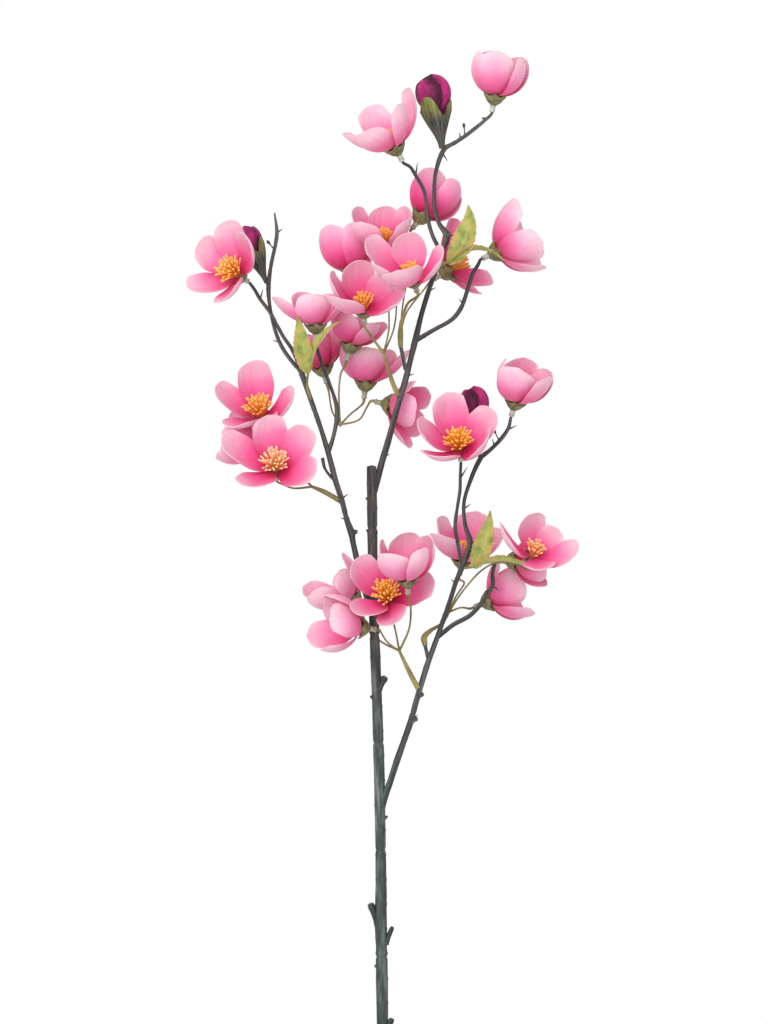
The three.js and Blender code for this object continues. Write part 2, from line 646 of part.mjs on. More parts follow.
// The frame of a bloom or bud: Z is the way it faces, and X leans to the upward side.
function flowerFrame({ base, heading, tilt }) {
  const turn = radians(heading);
  const lift = radians(tilt);
  const facing = new THREE.Vector3(
    Math.cos(turn) * Math.cos(lift),
    Math.sin(turn) * Math.cos(lift),
    Math.sin(lift),
  );
  const upward = new THREE.Vector3(0, 0, 1).addScaledVector(facing, -facing.z).normalize();
  const side = facing.clone().cross(upward);
  return new THREE.Matrix4().makeBasis(upward, side, facing).setPosition(...base);
}

const placed = (solid, flower) => solid.transform(flowerFrame(flower).elements);

// A point on a flower's axis, measured from its base.
function onAxis(flower, distance) {
  return new THREE.Vector3(0, 0, distance).applyMatrix4(flowerFrame(flower)).toArray();
}

// A corner of the ring that the petals grow from.
function hubCorner(radius, azimuth, low, high) {
  const at = (z) => new THREE.Vector3(radius * Math.cos(azimuth), radius * Math.sin(azimuth), z);
  return { front: at(low), back: at(high) };
}

// The foot of a petal on that ring, with its right side above its left side.
function claw({ azimuth }) {
  const turn = radians(HUB.claw);
  return [
    hubCorner(HUB.radius, azimuth - turn, 0, HUB.height - HUB.step),
    hubCorner(HUB.radius, azimuth + turn, HUB.step, HUB.height),
  ];
}

// Five petals on a ring, which the pin of the heart passes through.
function petals(number, bloom) {
  const shapes = Array.from({ length: PETAL_COUNT }, (_, k) => petalShape(number, bloom, k));
  const hole = shapes.map(({ azimuth }) => hubCorner(HUB.hole, azimuth, 0, HUB.height));
  const blades = shapes.map((shape) => [
    claw(shape),
    ...PETAL_ROWS.map(([v, columns]) => columns.map((u) => petalCorner(u, v, shape))),
  ]);
  const size = blades[0].flat().length;
  const numbers = blades.map((rows, k) => numbered(rows, PETAL_COUNT + k * size));
  const inner = [...hole.keys()];
  const outer = numbers.flatMap(([claw]) => claw);
  const faces = [...zip([...outer, outer[0]], [...inner, inner[0]]).map(([a, b, c]) => [a, c, b])];
  const rim = numbers.toReversed().flatMap(edge);
  const corners = [...hole, ...blades.flat(2)];
  return placed(shell(corners, [...faces, ...numbers.flatMap(skin)], [rim, inner]), bloom);
}

// How far a bloom's stamens spread and how tall they stand, by how open it is.
function stamenSpread({ petals }) {
  const rises = petals.map(([, rise]) => rise);
  if (rises.reduce((sum, rise) => sum + rise) / PETAL_COUNT < WIDE_RISE) return STAMENS.wide;
  return Math.min(...rises) < OPEN_RISE ? STAMENS.open : STAMENS.closed;
}

// The moulded heart of a bloom: a collar, a star of sepals, a pin through the petals and the
// stamens on top of them.
function heart(number, bloom) {
  const star = (z) =>
    circle(2 * PETAL_COUNT, 1, (x, y, k) => {
      const radius = k % 2 ? CALYX.notch : CALYX.tip;
      return new THREE.Vector3(x * radius, y * radius, z);
    });
  const seat = HUB.height + GAP;
  const { reach, tall } = stamenSpread(bloom);
  const crown = circle(2 * PETAL_COUNT, 1, (x, y, k) => {
    const uneven = 1 + STAMENS.uneven * spread(number, k, 6);
    const [radius, z] = k % 2 ? [STAMENS.root, STAMENS.low] : [reach * uneven, tall * uneven];
    return new THREE.Vector3(x * radius, y * radius, seat + z);
  });
  const rings = [
    flatRing(PETAL_COUNT, CALYX.mouth, -COLLAR_LENGTH),
    flatRing(PETAL_COUNT, CALYX.collar, -CALYX.length),
    star(-CALYX.drop),
    flatRing(PETAL_COUNT, PIN, -GAP),
    flatRing(PETAL_COUNT, PIN, seat),
    flatRing(PETAL_COUNT, STAMENS.seat, seat),
    crown,
    flatRing(PETAL_COUNT, STAMENS.middle, seat + STAMENS.low),
  ];
  return placed(loft(rings), bloom);
}

// The last stretch of a twig or stalk: into the collar of a bloom.
const intoCollar = (bloom) => [
  [...onAxis(bloom, -COLLAR_LENGTH - 1), PEG.root],
  [...onAxis(bloom, -COLLAR_LENGTH + PEG_DEPTH), PEG.tip],
];

// A branch with all its twigs, pegs, thorns and its knob on a short stalk; grow makes it fatter.
function branchSolid(branch, grow = 0) {
  const parts = [tube(branch.main, SIDES.branch, grow)];
  branch.twigs.forEach(({ bloom, path }) => {
    const end = bloom ? intoCollar(BLOOMS[bloom]) : [];
    parts.push(tube([...path, ...end], SIDES.twig, grow));
  });
  const [root, bud] = branch.bud;
  const inside = [...onAxis(BUDS[bud], PEG_DEPTH), PEG.tip];
  parts.push(tube([[...root, PEG.bud], inside], SIDES.twig, grow));
  branch.pegs.forEach(({ path }) => parts.push(tube(path, SIDES.twig, grow)));
  branch.thorns.forEach(([foot, tip]) => {
    parts.push(spike(foot, tip, THORN.root + grow, THORN.tip + grow, THORN.sides));
  });
  const [foot, tip] = branch.knob;
  const neck = foot.map((x, i) => x + (tip[i] - x) * KNOB.neckAt);
  const knob = [[...foot, KNOB.root], [...neck, KNOB.neck], [...tip, KNOB.head]];
  parts.push(tube(knob, SIDES.stalk, grow));
  return unionOf(parts);
}

// A sprig: its sleeve, its stalks and the hearts of its blooms.
function sprigSolid(sprig) {
  return unionOf([
    tube(sprig.sleeve, SIDES.twig),
    ...sprig.stalks.flatMap(({ bloom, path }) => {
      const end = [...onAxis(BLOOMS[bloom], -COLLAR_LENGTH + 1), PEG.stalk];
      return [tube([...path, end], SIDES.stalk), heart(bloom, BLOOMS[bloom])];
    }),
  ]);
}

// A bud's wrapped petals, from its waist to its blunt top, as heights and radii.
const BUD_PETALS = [[13, 2.6], [20, 5.6], [27, 9], [33, 10.2], [38.5, 8.8], [42.5, 5]];
const BUD_CALYX = [[0, 1.9], [5, 2.2], [9, 3.2], [14, 5.2]];
const SEPALS = { notch: [19, 7.4], tip: [27, 10.4] };
const BUD_SIDES = 10;
const BUD_FOLD = 0.93; // how far the petals' folds stand in, as a share of the radius

function budPetals(bud, grow = 0) {
  return loft(
    BUD_PETALS.map(([z, r], i) => {
      const rise = i ? 0 : -grow;
      return circle(BUD_SIDES, 1, (x, y, k) => {
        const radius = r * bud.size * bud.girth * (k % 3 ? 1 : BUD_FOLD) + grow;
        return new THREE.Vector3(x * radius, y * radius, z * bud.size + rise);
      });
    }),
  );
}

function budCalyx(bud) {
  const crown = circle(BUD_SIDES, 1, (x, y, k) => {
    const [z, r] = k % 2 ? SEPALS.notch : SEPALS.tip;
    return new THREE.Vector3(x * r * bud.girth, y * r * bud.girth, z).multiplyScalar(bud.size);
  });
  const cup = loft([
    ...BUD_CALYX.map(([z, r]) => flatRing(PETAL_COUNT, r * bud.size, z * bud.size)),
    crown,
  ]);
  return cup.subtract(budPetals(bud, GAP));
}

// A leaf blade with a cut edge, folded along its midrib.
function leafBlade({ rib, across, half }) {
  const curve = new THREE.QuadraticBezierCurve3(...rib.map(vector));
  const rows = Array.from({ length: LEAF.rows }, (_, i) => {
    const v = i / (LEAF.rows - 1);
    const along = curve.getTangent(v);
    const side = vector(across).addScaledVector(along, -vector(across).dot(along)).normalize();
    const face = side.clone().cross(along);
    const tooth = i % 2 ? LEAF.tooth : 1;
    const swell = Math.sin(Math.PI * (LEAF.foot + LEAF.reach * v ** LEAF.power));
    const width = Math.max(half * tooth * swell, LEAF.narrowest);
    const fold = radians(LEAF.fold);
    const columns = i === 0 || i === LEAF.rows - 1 ? [-1, 1] : [-1, 0, 1];
    return columns.map((u) => {
      const point = curve
        .getPoint(v)
        .addScaledVector(side, u * width * Math.cos(fold))
        .addScaledVector(face, Math.abs(u) * width * Math.sin(fold));
      return corner(point, face, LEAF.thickness);
    });
  });
  const numbers = numbered(rows, 0);
  return shell(rows.flat(), skin(numbers), [edge(numbers)]);
}

const leafPair = ({ stalk, blades }) => unionOf([tube(stalk, SIDES.stalk), ...blades.map(leafBlade)]);

const group = new THREE.Group();

// Adds a solid to the group, cut off flat where it rests on the surface.
function addNode(name, solid, colour, roughness) {
  const mesh = solid.trimByPlane([0, 0, 1], 0).getMesh();
  const points = new Float32Array(mesh.numVert * 3);
  for (let i = 0; i < mesh.numVert; i++) {
    points.set(mesh.vertProperties.subarray(i * mesh.numProp, i * mesh.numProp + 3), i * 3);
  }
  const geometry = new THREE.BufferGeometry();
  geometry.setAttribute("position", new THREE.BufferAttribute(points, 3));
  geometry.setIndex(new THREE.BufferAttribute(new Uint32Array(mesh.triVerts), 1));
  const material = new THREE.MeshStandardMaterial({ color: colour, roughness, metalness: 0 });
  const node = new THREE.Mesh(geometry, material);
  node.name = name;
  group.add(node);
}

const twoDigits = (number) => String(number).padStart(2, "0");

const stemSolid = (grow) =>
  unionOf([
    tube(STEM, SIDES.stem, grow),
    ...STEM_STUBS.map(([root, tip, a, b]) => spike(root, tip, a + grow, b + grow, 5)),
  ]);
const stemFat = stemSolid(GAP);
const branchesFat = unionOf(Object.values(BRANCHES).map((branch) => branchSolid(branch, GAP)));
addNode("stem", stemSolid(0), COLOURS.bark, 0.8);
for (const [name, branch] of Object.entries(BRANCHES)) {
  addNode("branch_" + name, branchSolid(branch).subtract(stemFat), COLOURS.bark, 0.8);
}
for (const [name, sprig] of Object.entries(SPRIGS)) {
  addNode("sprig_" + name, sprigSolid(sprig).subtract(branchesFat), COLOURS.heart, 0.6);
}
const onTwigs = Object.values(BRANCHES).flatMap((branch) => branch.twigs.map((twig) => twig.bloom));
for (const number of onTwigs.filter(Boolean)) {
  const solid = heart(number, BLOOMS[number]).subtract(branchesFat);
  addNode("heart_" + twoDigits(number), solid, COLOURS.heart, 0.6);
}
for (const [number, bloom] of Object.entries(BLOOMS)) {
  addNode("petals_" + twoDigits(number), petals(Number(number), bloom), COLOURS.petal, 0.7);
}
for (const [name, bud] of Object.entries(BUDS)) {
  addNode("bud_petals_" + name, placed(budPetals(bud), bud), COLOURS.budPetal, 0.7);
  const calyx = placed(budCalyx(bud), bud).subtract(branchesFat);
  addNode("bud_calyx_" + name, calyx, COLOURS.budCalyx, 0.6);
}
for (const [name, pair] of Object.entries(LEAVES)) {
  addNode("leaves_" + name, leafPair(pair).subtract(branchesFat), COLOURS.leaf, 0.7);
}

// The origin goes to the middle of the footprint, on the surface.
const box = new THREE.Box3().setFromObject(group);
const middle = box.getCenter(new THREE.Vector3());
group.children.forEach(({ geometry }) => geometry.translate(-middle.x, -middle.y, -box.min.z));

export default group;
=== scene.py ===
"""A cut spray of artificial apple blossom, laid on a white surface and seen from straight above.

The script is laid out as an add-on and runs whole from the command line. Sizes are millimetres in
the tables' own frame, and ORIGIN takes them to the frame that the model shares.
"""

import functools
import math

import bpy
import numpy as np
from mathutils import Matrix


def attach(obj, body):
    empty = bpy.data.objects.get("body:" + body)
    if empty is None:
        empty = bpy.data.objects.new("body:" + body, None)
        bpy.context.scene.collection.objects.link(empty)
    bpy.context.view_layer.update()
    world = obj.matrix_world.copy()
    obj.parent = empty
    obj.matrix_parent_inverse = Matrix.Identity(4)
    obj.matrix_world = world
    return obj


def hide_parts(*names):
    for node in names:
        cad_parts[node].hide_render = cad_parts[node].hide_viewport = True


bl_info = {
    "name": "Apple blossom spray",
    "version": (1, 0, 0),
    "blender": (4, 5, 0),
    "location": "View3D > Sidebar > Blossom",
    "description": "Builds a spray of cloth apple blossom on moulded twigs",
    "category": "Add Mesh",
}

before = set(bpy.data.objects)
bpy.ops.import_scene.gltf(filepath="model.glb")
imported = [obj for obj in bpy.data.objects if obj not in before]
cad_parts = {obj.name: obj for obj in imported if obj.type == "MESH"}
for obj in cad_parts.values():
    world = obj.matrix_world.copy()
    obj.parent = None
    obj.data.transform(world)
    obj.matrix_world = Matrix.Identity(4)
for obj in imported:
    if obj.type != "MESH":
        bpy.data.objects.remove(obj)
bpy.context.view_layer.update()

MM = 0.001
FULL_TURN = 2 * math.pi
ORIGIN = np.array([0.154, 0.4267, 0.0])  # from the tables' frame to the model's

# Stage, in metres where nothing else is said
FRAME_HEIGHT = 614.4  # mm that the picture shows from top to bottom
CAMERA = {"place": (0.154, 44.2267, 16000.0), "sensor": 36.0}  # in mm
CAMERA_REACH = (1.0, 100.0)
TABLE_REACH = 4.0
ROOM_LIGHT = 0.9
LAMP = {"size": 1.6, "watts": 26.0, "place": (-0.5, 0.7, 1.6), "lean": (-22, -16)}

# Sizes of a bloom, as in the solid model
PETAL = {"length": 33.0, "half": 12.0, "bowl": 14.0, "overlap": 0.2}
OUTLINE = {"claw": 0.16, "widest": 0.62, "tip": 0.84, "round": 0.105, "open": 1.7, "close": 1.6}
PETAL_COUNT = 5
CLAW_RISE = 8.0
PETAL_START = 2.3
PETAL_SEAT = 0.65
COLLAR_LENGTH = 9.5
PEG_DEPTH = 3.5
STALK_SHARE = 0.72  # how thick the green stalks are beside the solid model's

# How petals differ from one another, as shares, and the small forms of their cloth
VARIES = {"length": 0.04, "width": 0.05, "tip": 0.07, "dye": 0.14}
POINT = {"height": 0.022, "least": 0.35, "width": 0.2}
ROLL = {"reach": 0.9, "least": 0.3, "start": 0.72, "square": 0.08}
CREASE = {"depth": 0.25, "width": 0.09}
EDGE_THINNING = 0.5

# Calyx: its cup as heights and radii, then the rows of its sepals, each with an inner radius, a
# share of the way from there to the rim, a height and how far the points bend up
CALYX = {"point": 7.5, "rim": 5.4, "sharpness": 1.6}
CALYX_CUP = [
    (-8.6, 1.2), (-7.0, 1.3), (-5.8, 1.6), (-5.0, 2.3), (-4.3, 3.3), (-3.4, 4.3), (-2.3, 5.0),
]
SEPAL_ROWS = [
    (5.1, 0.4, -1.3, 0.1), (5.1, 0.75, -0.8, 0.7), (5.1, 0.93, -0.5, 1.5), (5.1, 1.0, -0.4, 2.1),
    (3.0, 0.95, -0.2, 2.0), (3.0, 0.6, -0.3, 0.4), (3.0, 0.2, -0.2, 0.0),
]
CALYX_TOP = (0.3, 2.2)
COLLAR = [
    (-9.5, 1.4), (-9.3, 1.75), (-8.7, 1.8), (-8.2, 1.62), (-7.0, 1.6), (-6.3, 1.72), (-5.7, 1.9),
    (-5.3, 1.85),
]

# Stamens: how far they spread, how tall they stand and how many there are in a bloom whose mean
# rise is under WIDE_RISE, in one with a petal under OPEN_RISE, and in the others
WIDE_RISE = 78.0
OPEN_RISE = 90.0
STAMENS = {"wide": (9.4, 12, 46), "open": (6.4, 9.6, 26), "closed": (3.4, 9, 10)}
DISC = {"height": 1.65, "radius": 2.1, "sunk": 0.4}
UNEVEN = {"shorter": 0.22, "random": 0.14, "flare": 1.3, "blunt": 0.25}
USUAL_HUE = 0.15
GOLDEN_TURN = 2.39996  # radians from one filament to the next in a sunflower's pattern
FILAMENT = (1.0, 0.85, 0.8, 0.95, 1.3, 1.4)  # radii from root to end, as shares

# Bark: each ridge's height, its waves round the twig and along it, its phase for one of the seed
# and its sway, then the swellings and the cracks round a twig
RIDGES = (
    (0.3, 3, 0.03, 1.0, 0.0), (0.24, 5, -0.05, 2.1, 0.0), (0.28, 8, 0.04, 3.7, 1.5),
    (0.12, 2, 0.35, 1.3, 0.0),
)
SWAY_WAVE = 0.09
KNUCKLE = {"wave": 0.21, "width": 0.13, "height": 0.7, "lean": 0.6}
CRACK = {"wave": 0.0485, "phase": 1.53, "width": 0.045, "depth": 1.6}
TWIG_UNIT = 100.0  # mm along a twig for one unit of its UV map
TWIG_ROUND = 0.1  # units of the UV map round a twig

# Straight small parts: shares of the way from foot to tip and the radii there. A stub's radii are
# shares of its foot's radius, of the mean and of its cut's radius.
THORN = (0.7, 0.15)
KNOB = {"places": (0, 0.6, 0.82, 1.0), "radii": (0.5, 0.4, 0.95, 0.6)}
STUB = {"places": (0, 0.3, 0.6, 0.86, 1.0), "foot": (1.25, 0.95), "cut": (1.3, 1.05)}
STUB_FACE = {"sunk": 0.4, "rim": 0.82, "raised": 0.3, "top": 0.8}  # two heights in mm, two shares

# The last points of twigs and stalks on a bloom's axis: mm past the collar's foot, and the radius
TWIG_TIP = ((-1.0, 0.9), (PEG_DEPTH, 0.8))
STALK_TIP = ((-2.4, 0.8), (1.0, 1.15))
BUD_PEG = (1.2, 0.8)  # radii at the root and inside the bud

# The height of the relief on small moulded parts, as a share of their radius, and a bell curve
# that swells a sleeve
RELIEF = {"thorn": 0.05, "stub": 0.07, "knob": 0.1, "sleeve": 0.09, "stalk": 0.08, "leaf": 0.05}
SWELL = {"least": 0.62, "more": 0.5, "place": 0.25, "width": 0.3}

# Columns, rows and sides of the fine surfaces
PETAL_COLUMNS = 20
PETAL_ROWS = 26
LEAF_COLUMNS = 17
LEAF_ROWS = 64
WRAP_COLUMNS = 26
WRAP_ROWS = 30
CORE_ROWS = 22
CUP_ROWS = 26
CUP_LINING_ROWS = 8
SIDES = {
    "stem": 40, "branch": 20, "twig": 14, "peg": 12, "sleeve": 16, "stalk": 10, "knob": 10,
    "thorn": 6, "stub": 18, "cut": 16, "calyx": 50, "collar": 20, "filament": 6, "core": 28,
    "cup": 90,
}
SHARP_ANGLE = 50.0  # degrees between faces that show an edge

# Main stem: x, y, radius. Its height rises evenly from the foot.
FOOT = {"y": -320.0, "z": 3.2, "slope": 0.128}
STEM = [
    (0.5, -320, 3.5), (-1, -263, 3.45), (-1.4, -222, 3.5), (-1.5, -217, 3.2), (-1.7, -211, 3.5),
    (-1.9, -162, 3.2), (-3, -105, 3.2), (-4.2, -69, 3.0), (-5.7, -33, 3.0), (-6.6, 3, 3.0),
    (-6.9, 39, 3.0), (-7.3, 71, 2.9),
]

# Sawn-off stubs and knots on the stem: root, tip, root radius, tip radius
STEM_STUBS = [
    ((-3.4, -204, 17.5), (-8, -191, 21), 2.0, 1.7),
    ((0.6, -215, 17), (5, -205, 18), 1.9, 1.1),
    ((0.4, -270, 10.5), (4.8, -260, 12), 2.0, 1.4),
    ((-3.6, -62, 36.5), (0.8, -55, 39), 2.3, 1.7),
    ((-5, -69, 36), (-8, -66.5, 36), 1.3, 0.7),
    ((-1, -141, 26), (1.9, -138.5, 26), 1.3, 0.7),
    ((-3.5, -230, 15), (-5.4, -228, 15), 1.3, 0.7),
    ((-6.5, 50, 51), (-10.6, 52, 51), 1.3, 0.7),
    ((-6.5, 31, 48), (-10.4, 33, 48), 1.3, 0.7),
]

# Branches: paths are x, y, z, radius. A twig names the bloom whose collar it enters.
BRANCHES = {
    "right": {
        "main": [
            (-2.4, -139, 26.5, 1.6), (0.4, -127, 28.5, 2.1), (3.9, -117, 31, 1.9),
            (7.8, -105, 33, 2.0), (12, -93, 35, 1.8), (16.2, -81, 37, 1.9), (19.5, -69, 38.5, 1.7),
            (25.8, -48, 41.5, 1.7), (31.2, -33, 44, 1.5), (39.6, -9, 47, 1.4), (43.5, 3, 48.5, 1.4),
            (47.4, 12, 50, 1.7),
        ],
        "twigs": [
            (19, [
                (47, 11, 50, 1.3), (44.4, 24, 50.5, 1.1), (42.6, 36, 51, 1.1), (43.8, 46, 51.5, 1),
                (45.4, 57, 54.5, 1), (45.6, 66, 59, 0.9),
            ]),
            (20, [
                (47.6, 12, 50, 1.4), (51.4, 25, 49.5, 1.8), (48.6, 36, 49, 1.2), (47.7, 48, 50, 1.1),
                (50.4, 59, 52, 1.2), (57.6, 75.6, 54, 1.5), (63.6, 81, 55, 1.2), (69.6, 87, 56, 1.2),
                (74.4, 94, 57, 1.1),
            ]),
            (23, [
                (32.4, -31, 44, 1.3), (41, -24, 44, 1.4), (51.6, -18, 44.5, 1.4),
                (59.4, -9.5, 45, 1.3), (65, 0, 44, 1.2), (65, 7, 41.5, 1.1),
            ]),
        ],
        "bud": ((57.6, 75.6, 54), "right"),
        "pegs": [
            [(27, -46, 42, 1.2), (24.6, -36, 41, 1.1), (24, -32, 40.4, 1.1)],
            [(21.9, -62, 39.5, 1.5), (19.6, -61, 40.5, 1.2)],
        ],
        "thorns": [
            ((16.2, -81, 37), (20.4, -77.5, 37.5)), ((43, 1, 48), (40, 3.6, 48.5)),
            ((51.4, 25, 50), (55, 27, 50)), ((48, 46, 50.3), (52, 48.6, 51)),
            ((45.6, 64, 57.8), (49.8, 70.6, 59)), ((66, 83, 55.5), (64.8, 87.6, 56)),
            ((74, 93, 57), (79.4, 95.6, 57.5)), ((64.8, 0, 44.2), (69, -3.6, 45)),
        ],
        "knob": ((69, 86, 56), (65.4, 93.6, 57.5)),
        "stubs": [
            ((20.2, -66.6, 38.9), (23.4, -65, 39.8), 1.6, 1.1),
            ((16.4, -81.4, 37), (19.8, -79.8, 37.8), 1.6, 1.2),
        ],
    },
    "left": {
        "main": [
            (-6.4, -22, 41.3, 1.5), (-11.6, -3, 43.6, 1.8), (-16.4, 16, 46, 1.8),
            (-18.8, 27, 47.5, 1.7), (-19.4, 31, 48, 2.1), (-22.2, 39, 49, 1.7),
            (-25.2, 51, 50.5, 1.6), (-28.8, 62, 52, 1.7), (-33, 78, 54, 1.6), (-37.2, 92, 55.5, 1.4),
            (-42, 106, 57, 1.5), (-46.2, 118, 58, 1.5), (-49.2, 127, 59, 1.8),
        ],
        "twigs": [
            (15, [
                (-48.6, 126, 59, 1.4), (-54.6, 140.4, 60, 1.2), (-60.6, 149.4, 61, 1.1),
                (-67.8, 162.6, 60, 1.1), (-74.4, 171.6, 57.5, 1.1), (-77.4, 176.8, 55.5, 1),
            ]),
            (None, [
                (-49.2, 127, 59, 1.4), (-57, 136.4, 58, 1.2), (-61.8, 144, 57.5, 1.2),
                (-65.6, 154.2, 57.5, 1.1), (-68.4, 168, 58, 1.1), (-69, 179, 58.5, 1.4),
                (-67.4, 192, 59.5, 1.1), (-64.8, 204, 60.5, 1.1), (-64, 211, 61, 1.1),
                (-65.4, 222.5, 62, 0.45),
            ]),
            (10, [
                (-33.4, 79, 54, 1.4), (-30, 90, 54.5, 1.2), (-28.2, 101, 55, 1.3),
                (-28.8, 109, 55.5, 1.2), (-32.4, 120, 58.5, 1.1), (-36.6, 131, 60, 1.1),
                (-39.6, 140, 61.5, 1),
            ]),
        ],
        "bud": ((-69, 179, 58.5), "left"),
        "pegs": [
            [(-25.4, 49, 50.2, 1.2), (-27.6, 51.6, 49.5, 1.1)],
            [(-28.2, 99.5, 55, 1.2), (-27.4, 98.6, 52, 1.1)],
            [(-29, 62, 52, 1.0), (-32.8, 66, 53, 0.9), (-35.6, 70.4, 53.8, 0.9), (-36.8, 76, 54.4, 1.1)],
        ],
        "thorns": [
            ((-22.2, 39, 49), (-26, 40.4, 49.5)),
            ((-25, 52, 50.6), (-21.4, 54.6, 51)), ((-62.4, 145.4, 57.6), (-66.4, 146.4, 58)),
            ((-74, 171, 57.7), (-72.4, 177, 59)), ((-64.2, 210.6, 61), (-60.6, 213, 61.4)),
        ],
        "knob": ((-65.4, 200.4, 60.2), (-69.8, 206, 61.4)),
        "stubs": [((-19.2, 31, 48), (-16.2, 32.4, 48.8), 1.7, 1.0)],
    },
    "upper": {
        "main": [
            (-6.6, 52, 50.8, 1.6), (-3.6, 64.5, 52.8, 1.9), (-1.2, 74, 54.5, 1.9), (1.8, 84, 56, 1.9),
            (5.4, 97, 57.5, 1.8), (9, 110, 58.8, 1.8), (12.6, 122, 60, 1.9), (15.6, 134, 61, 1.7),
            (18.6, 146, 62, 1.9), (22.2, 161, 63, 1.5), (26.4, 175, 64, 1.5), (31.2, 189, 64.5, 1.5),
            (34.8, 200, 65, 1.8),
        ],
        "twigs": [
            (2, [
                (34.2, 199, 65, 1.4), (29.4, 208, 66, 1.2), (26.4, 218, 66.5, 1.2),
                (25.2, 229, 67, 1.1), (23.4, 237, 67.5, 1.1), (18.6, 245.4, 68, 1.1),
                (15.6, 250, 68.5, 1),
            ]),
            (1, [
                (35, 200, 65, 1.5), (37.4, 209, 65.5, 2), (33, 216, 66, 1.3), (30.3, 225, 66, 1.2),
                (30, 237, 65.5, 1.1), (31.2, 248, 65, 1.2), (36, 260.5, 65, 1.5),
                (42.6, 264.6, 65, 1.2), (49.2, 269, 65, 1.2), (56.4, 274.6, 64.5, 1.1),
                (61.2, 278.6, 64, 1),
            ]),
            (3, [
                (18.6, 146, 62, 1.5), (29.4, 152.4, 61, 1.3), (40.8, 159, 60, 1.3),
                (46.2, 166, 59, 1.4), (49.8, 176, 58, 1.2), (53, 186, 56.5, 1.2), (56.5, 192, 55, 1.1),
            ]),
        ],
        "bud": ((36, 260.5, 65), "top"),
        "pegs": [
            [(12.8, 129, 60.5, 1.3), (11.2, 137, 63, 1.2), (9.9, 143, 65.6, 1.2)],
            [(9.2, 111.5, 59, 1.3), (7.8, 114.6, 60.5, 1.1)],
        ],
        "thorns": [
            ((-1, 76, 54.6), (3.6, 78.6, 55)), ((13.4, 125, 60.2), (18, 126.4, 60.6)),
            ((27, 176, 64), (31, 178, 64.4)), ((37.6, 209, 65.8), (41.6, 208.6, 66)),
            ((19, 245, 68), (20, 252.6, 69.4)), ((45.6, 266.6, 65), (45.2, 270.6, 65.6)),
            ((35, 258, 65), (38, 253.6, 65)), ((58.6, 279, 64.2), (63.6, 279.6, 64.6)),
            ((47.4, 168, 58.8), (44.6, 171.4, 59)),
        ],
        "knob": ((48.4, 268.6, 65), (47.6, 276, 66)),
        "stubs": [((37.4, 208.6, 65.6), (40, 210, 66.4), 1.7, 1.2)],
    },
}


def evenly(first, rise, *shares):
    """Five alike petals at even turns from the first."""
    return [(first + 360 / PETAL_COUNT * k, rise, *shares) for k in range(PETAL_COUNT)]


